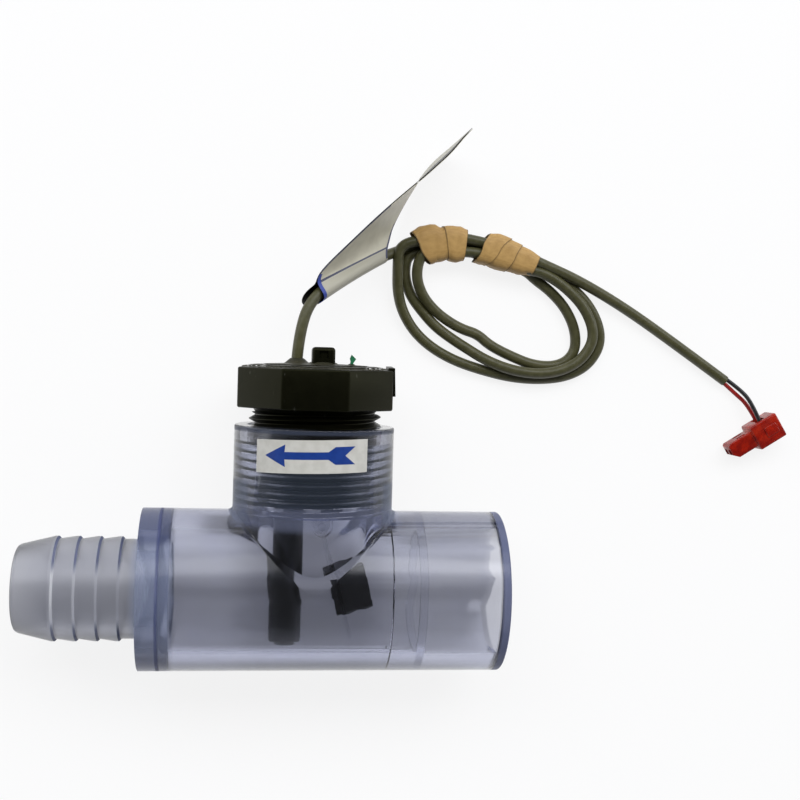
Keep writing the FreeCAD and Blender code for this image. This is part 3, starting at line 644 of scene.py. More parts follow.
def linked(name: str, data: bpy.types.ID) -> bpy.types.Object:
    """Put new data into the scene.

    Args:
        name: Name of the object.
        data: Its mesh or curve.

    Returns:
        The object.
    """
    obj = bpy.data.objects.new(name, data)
    bpy.context.scene.collection.objects.link(obj)
    return obj


def drawn(name: str, points: Sequence[Point], edges: Sequence = (), faces: Sequence = ()) -> bpy.types.Object:
    """Draw a mesh from points in millimetres.

    Args:
        name: Name of the object.
        points: Its vertices.
        edges: Pairs of vertices.
        faces: Rings of vertices.

    Returns:
        The object.
    """
    mesh = bpy.data.meshes.new(name)
    mesh.from_pydata([tuple(step * MM for step in point) for point in points], list(edges), list(faces))
    return linked(name, mesh)


def added(name: str) -> bpy.types.Object:
    """Take the primitive that was just added, with its place and size put into the mesh.

    Args:
        name: New name of the object.

    Returns:
        The object.
    """
    obj = bpy.context.view_layer.objects.active
    obj.name = name
    bpy.ops.object.transform_apply(location=True, rotation=True, scale=True)
    return obj


def block(name: str, low: Point, high: Point, edge: float = 0.0) -> bpy.types.Object:
    """Add a box with rounded edges.

    Args:
        name: Name of the object.
        low: Lowest corner in millimetres.
        high: Highest corner in millimetres.
        edge: Radius of its edges.

    Returns:
        The object.
    """
    bpy.ops.object.select_all(action="DESELECT")
    middle = [(a + b) / 2 * MM for a, b in zip(low, high)]
    size = [(b - a) * MM for a, b in zip(low, high)]
    bpy.ops.mesh.primitive_cube_add(size=1.0, location=middle, scale=size)
    obj = added(name)
    if edge > 0:
        with editing(obj):
            bpy.ops.mesh.bevel(offset=edge * MM, segments=3, affect="EDGES")
    return obj


def cone(name: str, foot: Point, height: float, wide: float, narrow: float,
         sides: int = 96) -> bpy.types.Object:
    """Add an upright cylinder or cone.

    Args:
        name: Name of the object.
        foot: Middle of its lower end in millimetres.
        height: Its height.
        wide: Radius of the lower end.
        narrow: Radius of the upper end.
        sides: Number of sides.

    Returns:
        The object.
    """
    bpy.ops.object.select_all(action="DESELECT")
    middle = (foot[0] * MM, foot[1] * MM, (foot[2] + height / 2) * MM)
    bpy.ops.mesh.primitive_cone_add(
        vertices=sides, radius1=wide * MM, radius2=narrow * MM, depth=height * MM, location=middle
    )
    return added(name)


def lathe(name: str, outline: Sequence[tuple[float, float]], steps: int = 160) -> bpy.types.Object:
    """Spin a closed outline round the upright axis.

    Args:
        name: Name of the object.
        outline: Radius and height of each corner in millimetres.
        steps: Number of steps in the turn.

    Returns:
        The object.
    """
    count = len(outline)
    ring = [(number, (number + 1) % count) for number in range(count)]
    obj = drawn(name, [(radius, 0.0, height) for radius, height in outline], ring)
    with editing(obj):
        bpy.ops.mesh.spin(steps=steps, angle=math.tau, center=(0, 0, 0), axis=(0, 0, 1))
        bpy.ops.mesh.select_all(action="SELECT")
        bpy.ops.mesh.remove_doubles(threshold=FINE_MERGE)
        bpy.ops.mesh.normals_make_consistent(inside=False)
    return obj


def use(obj: bpy.types.Object, kind: str, **settings: object) -> None:
    """Add a modifier and apply it at once.

    Args:
        obj: Object to change.
        kind: Modifier type name.
        settings: Properties of the modifier.
    """
    modifier = obj.modifiers.new(kind.lower(), kind)
    for key, value in settings.items():
        setattr(modifier, key, value)
    activate(obj)
    bpy.ops.object.modifier_apply(modifier=modifier.name)


def combine(target: bpy.types.Object, tool: bpy.types.Object, join: Join) -> None:
    """Weld a solid to another or cut it away, and drop the tool."""
    use(target, "BOOLEAN", operation=join.value, object=tool, solver="MANIFOLD")
    bpy.data.objects.remove(tool)


def smooth(obj: bpy.types.Object, degrees: float) -> None:
    """Shade smooth, with edges sharper than an angle kept."""
    activate(obj)
    bpy.ops.object.shade_smooth_by_angle(angle=math.radians(degrees))


def settle(obj: bpy.types.Object, turn: Matrix) -> bpy.types.Object:
    """Turn a piece made round the upright axis and move it to the tee's crossing."""
    obj.data.transform(Matrix.Translation(CROSSING * MM) @ turn)
    return obj


def dress(obj: bpy.types.Object, slot: str, nodes: Sequence[str],
          finish: str | None = None) -> bpy.types.Object:
    """Give a finished piece its material and its place in the frame.

    Args:
        obj: Finished piece.
        slot: Material slot in the record.
        nodes: CAD nodes it stands for.
        finish: Finish that differs from the slot's own.

    Returns:
        The piece.
    """
    obj.data.materials.clear()
    obj.data.materials.append(PALETTE.material(finish or slot))
    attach(obj, FITTING)
    if nodes:
        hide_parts(*nodes)
    LOG.info("%s in %s", obj.name, slot)
    return obj


@dataclass
class PipeThread:
    """Tapered pipe thread of the neck."""

    pitch: float = 2.209
    mean: float = 16.4
    gauge: float = 43.4
    taper: float = 1.0 / 32.0
    flat: float = 0.18
    right_crest: float = 46.05
    steps: int = 128

    def bar(self, name: str, crest: float, root: float, bottom: float, top: float) -> bpy.types.Object:
        """Model a threaded bar that stands on the upright axis.

        Args:
            name: Name of the object.
            crest: Height of the crest over the mean cone.
            root: Height of the root over the mean cone.
            bottom: Lower end along the neck.
            top: Upper end along the neck.

        Returns:
            The bar, capped at both ends.
        """
        outline = []
        height = self.right_crest - (self.pitch + self.flat) / 2
        height -= math.ceil((height - bottom) / self.pitch + 1) * self.pitch
        while height < top + self.pitch:
            for radius, rise in ((root, 0.0), (root, self.flat), (crest, self.pitch / 2),
                                 (crest, self.pitch / 2 + self.flat)):
                outline.append((self.mean + radius, 0.0, height + rise))
            height += self.pitch
        edges = [(number, number + 1) for number in range(len(outline) - 1)]
        bar = drawn(name, outline, edges)
        use(bar, "SCREW", axis="Z", angle=math.tau, screw_offset=self.pitch * MM, steps=self.steps,
            render_steps=self.steps, use_merge_vertices=False)
        with editing(bar):
            bpy.ops.mesh.remove_doubles(threshold=MERGE)
            for level, keeps_upper in ((bottom, True), (top, False)):
                bpy.ops.mesh.select_all(action="SELECT")
                bpy.ops.mesh.bisect(
                    plane_co=(0, 0, level * MM), plane_no=(0, 0, 1), use_fill=True,
                    clear_inner=keeps_upper, clear_outer=not keeps_upper, threshold=FINE_MERGE
                )
            bpy.ops.mesh.select_all(action="SELECT")
            bpy.ops.mesh.normals_make_consistent(inside=False)
        for vertex in bar.data.vertices:
            share = 1 + (vertex.co.z / MM - self.gauge) * self.taper / self.mean
            vertex.co.x *= share
            vertex.co.y *= share
        return bar


@dataclass
class ClearTee:
    """Clear tee with a real thread cut in its neck."""

    thread: PipeThread
    neck_top: float = 43.4
    thread_bottom: float = 20.5
    counterbore: float = 39.25
    run_bore: float = 16.0
    neck_bore: float = 14.8
    seam: float = 20.0
    groove: tuple[tuple[float, float], ...] = (
        (15.5, -0.2), (16.0, -0.2), (16.75, 0.0), (16.3, 0.2), (15.5, 0.2),
    )
    seamless: tuple[Point, Point] = ((0, -60, -10), (60, 20, 21))
    sleeve_inner: float = 14.9
    sleeve_outer: float = 18.5
    sleeve_overlap: float = 0.6
    cutter_overlap: float = 2.0
    crest: float = 0.88
    root: float = -0.72
    rim_width: float = 0.03

    def build(self) -> None:
        """Fill the rings of the neck below its counterbore and cut the thread into it."""
        shell = linked("tee_shell", frame["nodes"]["tee_body"].data.copy())
        activate(shell)
        bpy.ops.mesh.customdata_custom_splitnormals_clear()
        with editing(shell):
            bpy.ops.mesh.remove_doubles(threshold=MERGE)
            bpy.ops.mesh.normals_make_consistent(inside=False)
        low = self.thread_bottom - self.sleeve_overlap
        high = self.counterbore
        sleeve = lathe("sleeve", ((self.sleeve_inner, low), (self.sleeve_outer, low),
                                  (self.sleeve_outer, high), (self.sleeve_inner, high)))
        combine(shell, settle(sleeve, UPRIGHT), Join.WELD)
        end = self.neck_top + self.cutter_overlap
        cutter = self.thread.bar("cutter", self.crest, self.root, self.thread_bottom, end)
        combine(shell, settle(cutter, UPRIGHT), Join.CUT)
        groove = lathe("groove", [(radius, self.seam + along) for radius, along in self.groove])
        settle(groove, ALONG_RUN)
        combine(groove, block("under", *self.seamless), Join.CUT)
        combine(shell, groove, Join.CUT)
        smooth(shell, degrees=22)
        self.crease(shell)
        dress(shell, "clear_pvc", ["tee_body"])

    def crease(self, shell: bpy.types.Object) -> None:
        """Keep the rim where the neck's bore breaks into the run's bore sharp.

        Args:
            shell: The tee.
        """
        with editing(shell):
            bpy.ops.mesh.select_all(action="DESELECT")
        for vertex in shell.data.vertices:
            spot = vertex.co / MM - CROSSING
            in_run = abs(math.hypot(spot.y, spot.z) - self.run_bore) < self.rim_width
            in_neck = abs(math.hypot(spot.x, spot.z) - self.neck_bore) < self.rim_width
            vertex.select = in_run and in_neck
        bpy.ops.object.mode_set(mode="EDIT")
        bpy.ops.mesh.select_mode(type="EDGE")
        bpy.ops.mesh.mark_sharp()
        bpy.ops.object.mode_set(mode="OBJECT")


@dataclass
class HoseBarb:
    """Barbed outlet with a polished collar and a short glued spigot."""

    tip: float = -75.2
    collar: float = -43.9
    shoulder: float = -38.6
    seam: float = -0.02
    spigot: float = 2.6
    bore: float = 10.0
    tip_radius: float = 11.4
    lip: float = 1.2
    crest_radius: float = 13.45
    root_radius: float = 12.8
    run_radius: float = 21.0
    spigot_radius: float = 16.77
    crests: tuple[float, ...] = (-65.4, -60.0, -54.6, -49.2)
    crest_half: float = 0.35
    crest_lee: float = 0.9
    lead_in: tuple[float, float] = (3.0, 4.0)
    rounding: float = 0.32

    def outline(self) -> list[tuple[float, float]]:
        """Trace the barb's section.

        Returns:
            Radius and place along the run of each corner.
        """
        inner_end = self.shoulder + self.spigot
        joint = self.shoulder - self.seam
        points = [
            (self.bore, self.tip), (self.tip_radius - self.lip, self.tip),
            (self.tip_radius - self.lip / 3, self.tip + self.lip / 3), (self.tip_radius, self.tip + self.lip),
        ]
        for crest in self.crests:
            points.append((self.crest_radius, crest - self.crest_half))
            points.append((self.crest_radius, crest + self.crest_half))
            points.append((self.root_radius, crest + self.crest_lee))
        widening, depth = self.lead_in
        return points + [
            (self.root_radius, self.collar), (self.run_radius, self.collar),
            (self.run_radius, joint), (self.spigot_radius, joint), (self.spigot_radius, inner_end),
            (self.bore + widening, inner_end), (self.bore, inner_end - depth),
        ]

    def build(self) -> None:
        """Spin the section and round its corners."""
        barb = lathe("barb_outlet", self.outline(), 180)
        use(barb, "BEVEL", width=self.rounding * MM, segments=3, limit_method="ANGLE",
            angle_limit=math.radians(12))
        settle(barb, ALONG_RUN)
        smooth(barb, degrees=35)
        dress(barb, "milky_pvc", ["hose_barb"])


@dataclass
class SwitchPlug:
    """Black plug with an octagonal head, a threaded shank, an open cup and a seat for the hinge bracket."""

    thread: PipeThread
    flats: float = 39.8
    turn: float = -3.5
    head_bottom: float = 48.0
    head_top: float = 58.4
    head_edge: float = 0.5
    flash: Point = (0.42, 7.3, 7.5)
    flash_top: float = 59.2
    flash_root: float = 1.2
    flash_edge: float = 0.12
    flash_slope: float = 0.02
    burr: float = 0.3
    near_edge: float = 0.5
    shank_bottom: float = 23.9
    shank_top: float = 49.5
    thread_half: float = 0.8
    cup_radius: float = 13.0
    cup_floor: float = 27.5
    stem_x: float = -6.8
    stem_hole: float = 4.23
    seat_x: tuple[float, float] = (-0.41, 4.81)
    seat_half: float = 7.61
    seat_top: float = 25.71
    relief_radius: float = 15.6
    relief_level: float = 46.75
    relief_top: float = 50.6
    relief_outer: float = 19.0
    relief_drop: float = 0.65
    relief_slope: float = 0.72

    def shank(self) -> bpy.types.Object:
        """Model the threaded shank with a turned relief under the head.

        Returns:
            The shank.
        """
        half = self.thread_half
        shank = self.thread.bar("shank", half, -half, self.shank_bottom, self.shank_top)
        top, level = self.relief_top, self.relief_level
        slope = self.relief_slope * (top - level)
        relief = lathe("relief", ((self.relief_radius, level), (self.relief_outer, level - self.relief_drop),
                                  (self.relief_outer, top), (self.relief_radius + slope, top)))
        combine(shank, relief, Join.CUT)
        return shank

    def fin(self) -> bpy.types.Object:
        """Model the flash that the mould left on the head's right facet, with a burr at its lower end.

        Returns:
            The flash.
        """
        thick, half, tall = self.flash
        facet = self.flats / 2
        top = self.flash_top
        bottom = top - tall
        low = (facet - self.flash_root, -half, bottom)
        fin = block("fin", low, (facet + thick, half, top), self.flash_edge)
        for vertex in fin.data.vertices:
            spot = vertex.co / MM
            if spot.x > facet and spot.z < bottom + self.near_edge:
                vertex.co.x += self.burr * MM
            if spot.z > top - self.near_edge:
                vertex.co.z += self.flash_slope * spot.y * MM
        return fin

    def build(self) -> None:
        """Model the plug from its head down."""
        corner = self.flats / 2 / math.cos(math.pi / 8)
        height = self.head_top - self.head_bottom
        plug = cone("plug_body", (0, 0, self.head_bottom), height, corner, corner, 8)
        with editing(plug):
            bpy.ops.transform.rotate(value=math.pi / 8, orient_axis="Z", center_override=(0, 0, 0))
            bpy.ops.mesh.bevel(offset=self.head_edge * MM, segments=3, affect="EDGES")
        combine(plug, self.fin(), Join.WELD)
        plug.data.transform(Matrix.Rotation(math.radians(self.turn), 4, "Z"))
        combine(plug, self.shank(), Join.WELD)
        depth = self.head_top - self.cup_floor + 1
        combine(plug, cone("cup", (0, 0, self.cup_floor), depth, self.cup_radius, self.cup_radius), Join.CUT)
        below = self.shank_bottom - 1
        depth = self.cup_floor - below + 1
        hole = cone("hole", (self.stem_x, 0, below), depth, self.stem_hole, self.stem_hole)
        combine(plug, hole, Join.CUT)
        low, high = self.seat_x
        seat = block("seat", (low, -self.seat_half, below), (high, self.seat_half, self.seat_top))
        combine(plug, seat, Join.CUT)
        settle(plug, UPRIGHT)
        smooth(plug, degrees=30)
        dress(plug, "black_plastic", ["switch_plug"])


@dataclass
class CapScrew:
    """Insert screw whose rounded square head, with a window in front, stands out of the resin."""

    place: tuple[float, float] = (1.6, -3.0)
    half: float = 2.98
    bottom: float = 58.2
    top: float = 63.98
    rounding: float = 0.95
    window: Point = (1.15, 0.7, 1.9)
    window_bottom: float = 61.0
    window_slopes: tuple[float, float] = (0.78, 1.22)
    shank_radius: float = 1.48
    shank_bottom: float = 26.65

    def build(self) -> None:
        """Model the head from a block and sink a window with sloping sides into it."""
        x, y = self.place
        low = (x - self.half, y - self.half, self.bottom)
        head = block("cap_screw", low, (x + self.half, y + self.half, self.top))
        with editing(head):
            bpy.ops.mesh.bevel(offset=self.rounding * MM, segments=6, affect="EDGES")
        wide, deep, tall = self.window
        front = y - self.half
        cutter = block("cutter", (x - wide, front - deep, self.window_bottom),
                       (x + wide, front + deep, self.window_bottom + tall))
        middle = self.window_bottom + tall / 2
        inner, outer = self.window_slopes
        for vertex in cutter.data.vertices:
            spot = vertex.co / MM
            share = inner if spot.y > front else outer
            vertex.co.x = (x + (spot.x - x) * share) * MM
            vertex.co.z = (middle + (spot.z - middle) * share) * MM
        combine(head, cutter, Join.CUT)
        shank = cone("shank", (x, y, self.shank_bottom), self.bottom - self.shank_bottom + 1,
                     self.shank_radius, self.shank_radius, 48)
        combine(head, shank, Join.WELD)
        settle(head, UPRIGHT)
        smooth(head, degrees=30)
        dress(head, "black_plastic", ["insert_screw"])


@dataclass
class ResinFill:
    """Resin cast into the plug's cup, mounded over its head and drawn up round what leaves it."""

    cup_radius: float = 12.97
    cup_floor: float = 27.53
    head_top: float = 58.38
    dome_radius: float = 19.7
    dome_rise: float = 1.3
    voxel: float = 0.36
    mounds: tuple[tuple[str, float, float, float, float, float], ...] = (
        ("cable_mound", -5.05, 0.0, 2.6, 4.6, 1.75),
        ("boss_mound", 1.6, -3.0, 1.7, 5.6, 3.3),
        ("stub_mound", 8.82, -5.0, 1.5, 1.5, 0.8),
    )

    def dome(self) -> bpy.types.Object:
        """Model the low dome over the head.

        Returns:
            The dome.
        """
        bpy.ops.object.select_all(action="DESELECT")
        bpy.ops.mesh.primitive_uv_sphere_add(
            segments=96, ring_count=48, radius=MM, location=(0, 0, self.head_top * MM),
            scale=(self.dome_radius, self.dome_radius, self.dome_rise)
        )
        dome = added("dome")
        with editing(dome):
            bpy.ops.mesh.bisect(
                plane_co=(0, 0, self.head_top * MM), plane_no=(0, 0, 1), use_fill=True, clear_inner=True
            )
        return dome

    def build(self) -> None:
        """Join the fill, the dome and the mounds, and melt them together."""
        fill = cone("resin_fill", (0, 0, self.cup_floor), self.head_top - self.cup_floor + 0.5,
                    self.cup_radius, self.cup_radius)
        mounds = [self.dome()]
        for name, x, y, rise, wide, narrow in self.mounds:
            mounds.append(cone(name, (x, y, self.head_top), rise, wide, narrow))
        activate(fill)
        for mound in mounds:
            mound.select_set(True)
        bpy.ops.object.join()
        fill.data.remesh_voxel_size = self.voxel * MM
        bpy.ops.object.voxel_remesh()
        use(fill, "SMOOTH", factor=0.5, iterations=7)
        settle(fill, UPRIGHT)
        activate(fill)
        bpy.ops.object.shade_smooth()
        dress(fill, "dark_resin", ["potting_fill"])


@dataclass
class FlowLabel:
    """Label stuck round the neck, with the flow arrow printed on it."""

    radius: float = 20.91
    start: float = -16.8
    end: float = 13.15
    bottom: float = 32.69
    top: float = 40.98
    slope: float = 0.0233
    paper: float = 0.1
    ink_gap: float = 0.108
    ink: float = 0.012
    cuts: int = 70
    cut_step: float = 0.34
    arrow_level: float = 37.07
    arrow: tuple[tuple[float, float], ...] = (
        (-14.0, 0.0), (-8.4, 2.8), (-8.6, 0.94), (2.4, 0.94), (4.15, 2.2), (9.45, 2.24), (6.7, 0.0),
    )

    def wrap(self, obj: bpy.types.Object, radius: float) -> None:
        """Bend a flat drawing round the neck.

        Args:
            obj: Drawing with arc length as X and height as Y.
            radius: Radius it is bent to.
        """
        for vertex in obj.data.vertices:
            arc, level, rise = (step / MM for step in vertex.co)
            angle = arc / self.radius
            reach = radius + rise
            local = Vector((reach * math.sin(angle), level + arc * self.slope, reach * math.cos(angle)))
            vertex.co = (local + CROSSING) * MM

    def build(self) -> None:
        """Model the label and the arrow."""
        bpy.ops.object.select_all(action="DESELECT")
        bpy.ops.mesh.primitive_grid_add(
            x_subdivisions=64, y_subdivisions=12, size=MM,
            location=((self.start + self.end) / 2 * MM, (self.bottom + self.top) / 2 * MM, 0),
        )
        label = bpy.context.view_layer.objects.active
        label.scale = (self.end - self.start, self.top - self.bottom, 1)
        label = added("arrow_label")
        self.wrap(label, self.radius)
        use(label, "SOLIDIFY", thickness=self.paper * MM, offset=1.0)
        smooth(label, degrees=40)
        dress(label, "label_paper", ["flow_arrow_label"])
        upper = [(arc, self.arrow_level + half, 0.0) for arc, half in self.arrow]
        lower = [(arc, self.arrow_level - half, 0.0) for arc, half in self.arrow[1:-1]]
        ring = upper + lower[::-1]
        arrow = drawn("printed_arrow", ring, faces=[tuple(range(len(ring)))])
        with editing(arrow):
            bpy.ops.mesh.quads_convert_to_tris()
            for step in range(self.cuts):
                arc = (self.arrow[0][0] + step * self.cut_step) * MM
                bpy.ops.mesh.select_all(action="SELECT")
                bpy.ops.mesh.bisect(plane_co=(arc, 0, 0), plane_no=(1, 0, 0))
        self.wrap(arrow, self.radius + self.ink_gap)
        use(arrow, "SOLIDIFY", thickness=self.ink * MM, offset=1.0)
        smooth(arrow, degrees=40)
        dress(arrow, "label_paper", [], finish="arrow_ink")


@dataclass
class CoiledLead:
    """Cable that leaves the resin, makes three turns and ends in two wires."""

    radius: float = 1.5
    wire_radius: float = 0.6
    exit: Point = (7.65, 39.4, 21.0)
    centre: tuple[float, float] = (65.0, 55.0)
    length: float = 0.58
    lead: tuple[Point, ...] = (
        (7.65, 39.4, 21.0), (8.05, 45.6, 21.0), (10.6, 54.6, 19.4), (18.6, 61.4, 15.0), (28.4, 66.8, 7.6),
        (37.0, 70.4, 1.7),
    )
    tail: tuple[Point, ...] = (
        (77.5, 67.4, 4.5), (88.0, 63.4, 3.2), (102.0, 56.2, 1.8), (117.7, 46.2, 1.6), (132.7, 36.2, 1.6),
    )
    black: tuple[Point, ...] = (
        (133.04, 36.72, 1.7), (137.0, 33.9, 2.6), (140.0, 30.4, 3.9), (142.38, 25.03, 4.7),
    )
    red: tuple[Point, ...] = (
        (132.36, 35.68, 1.5), (136.3, 32.4, 1.5), (139.7, 29.6, 1.9), (142.38, 25.03, 2.2),
    )
    bundle: tuple[tuple[float, float], ...] = (
        (44.3, 71.8), (51.4, 72.1), (57.5, 71.8), (64.2, 70.4), (73.0, 67.4),
    )
    passes: tuple[tuple[tuple[float, float], ...], ...] = (
        ((1.6, 1.8), (0.0, 1.7), (-1.6, 1.8)),
        ((-1.6, 4.9), (-1.9, 5.2), (-1.6, 4.9)),
        ((-1.6, 1.8), (0.0, 4.2), (1.6, 1.8)),
        ((1.6, 4.9), (2.2, 5.2), (1.6, 4.9)),
    )
    bends: tuple[Point, ...] = ((41.6, 68.6, 4.8), (38.6, 69.4, 1.8), (35.6, 71.7, 4.9))
    rest: float = 1.6
    ride: float = 2.7
    ride_span: float = 60.0
    climb: float = 3.1
    climb_span: float = 48.0
    climb_angle: float = -150.0
    stations: tuple[tuple[float, float, float, float], ...] = (
        (40, 13.3, 15.9, 17.9), (20, 15.8, 19.5, 21.7), (2, 19.5, 24.5, 27.2), (-14, 23.3, 28.5, 31.5),
        (-28, 25.7, 28.0, 31.1), (-41, 24.2, 25.6, 28.2), (-56, 19.3, 22.1, 23.9), (-77, 13.4, 18.0, 20.0),
        (-103, 10.7, 15.3, 18.1), (-128, 9.5, 14.7, 19.4), (-148, 11.9, 16.3, 22.2), (-163, 14.8, 19.0, 25.1),
        (-176, 18.6, 22.0, 27.6), (-187, 22.4, 25.8, 29.4), (-198, 25.6, 28.7, 31.0),
    )

    def height(self, turn: int, angle: float) -> float:
        """Height of a turn over the table; the second rides on the others, which climb towards the tape.

        Args:
            turn: Number of the turn, from nought.
            angle: Place round the coil in degrees.

        Returns:
            Height of the cable's middle.
        """
        if turn == 1:
            return self.rest + self.ride * bounded((angle - self.climb_angle) / self.ride_span)
        rising = bounded((self.climb_angle - angle) / self.climb_span)
        return self.rest + self.climb * rising * rising

    def through(self, number: int) -> list[Point]:
        """Run one pass of the bundle through the tape.

        Args:
            number: Number of the pass, from nought.

        Returns:
            Points of the pass.
        """
        points = []
        left, middle, right = self.passes[number]
        offsets = (left, middle, right, right, right)
        last = len(self.bundle) - 1
        for step, (x, y) in enumerate(self.bundle):
            before = Vector(self.bundle[max(0, step - 1)])
            after = Vector(self.bundle[min(last, step + 1)])
            run = (after - before).normalized()
            aside, level = offsets[step]
            points.append((x - run.y * aside, y + run.x * aside, level))
        return points

    def route(self) -> list[Point]:
        """Work out the cable's line from the resin to the split of its cores.

        Returns:
            Points of the line.
        """
        points = list(self.lead) + self.through(0)
        for turn in range(3):
            for station in self.stations:
                angle = math.radians(station[0])
                reach = station[1 + turn]
                x = self.centre[0] + reach * math.cos(angle)
                y = self.centre[1] + reach * math.sin(angle)
                points.append((x, y, self.height(turn, station[0])))
            points.append(self.bends[turn])
            points += self.through(turn + 1)
        return points + list(self.tail)

    def strand(self, name: str, points: Sequence[Point], radius: float) -> bpy.types.Object:
        """Lay a round strand along points.

        Args:
            name: Name of the object.
            points: Points of its line in millimetres.
            radius: Radius of the strand.

        Returns:
            The strand as a curve.
        """
        curve = bpy.data.curves.new(name, "CURVE")
        curve.dimensions = "3D"
        curve.bevel_depth = radius * MM
        curve.bevel_resolution = 6
        curve.use_fill_caps = True
        spline = curve.splines.new("NURBS")
        spline.points.add(len(points) - 1)
        for knot, place in zip(spline.points, points):
            knot.co = (place[0] * MM, place[1] * MM, place[2] * MM, 1.0)
        spline.order_u = 3
        spline.use_endpoint_u = True
        spline.resolution_u = 8
        return linked(name, curve)

    def build(self) -> list[bpy.types.Object]:
        """Lay the cable and its two wires.

        Returns:
            The cable, the black wire and the red wire.
        """
        cable = self.strand("cable", self.route(), self.radius)
        dress(cable, "cable_jacket", ["cable_lead", "cable_coil", "cable_tail"])
        black = self.strand("black_core", self.black, self.wire_radius)
        dress(black, "black_insulation", ["wire_black"])
        red = self.strand("red_core", self.red, self.wire_radius)
        dress(red, "red_insulation", ["wire_red"])
        return [cable, black, red]

    def declare(self, cable: bpy.types.Object) -> None:
        """Args:
            cable: The cable, which is not used.
        """
        leaves = [step * MM for step in self.exit]


def woven(name: str, rows: Sequence[Sequence[Point]],
          sheet: Sequence[Sequence[tuple[float, float]]]) -> bpy.types.Object:
    """Join rows of points into a sheet that carries its own coordinates.

    Args:
        name: Name of the object.
        rows: Rows of points in millimetres, all of one length.
        sheet: Sheet coordinates of every point.

    Returns:
        The sheet.
    """
    wide = len(rows[0])
    points = [point for row in rows for point in row]
    marks = [mark for row in sheet for mark in row]
    faces = []
    for row in range(len(rows) - 1):
        for step in range(wide - 1):
            first = row * wide + step
            faces.append((first, first + 1, first + 1 + wide, first + wide))
    obj = drawn(name, points, faces=faces)
    layer = obj.data.uv_layers.new(name="sheet")
    for loop in obj.data.loops:
        layer.data[loop.index].uv = marks[loop.vertex_index]
    return obj


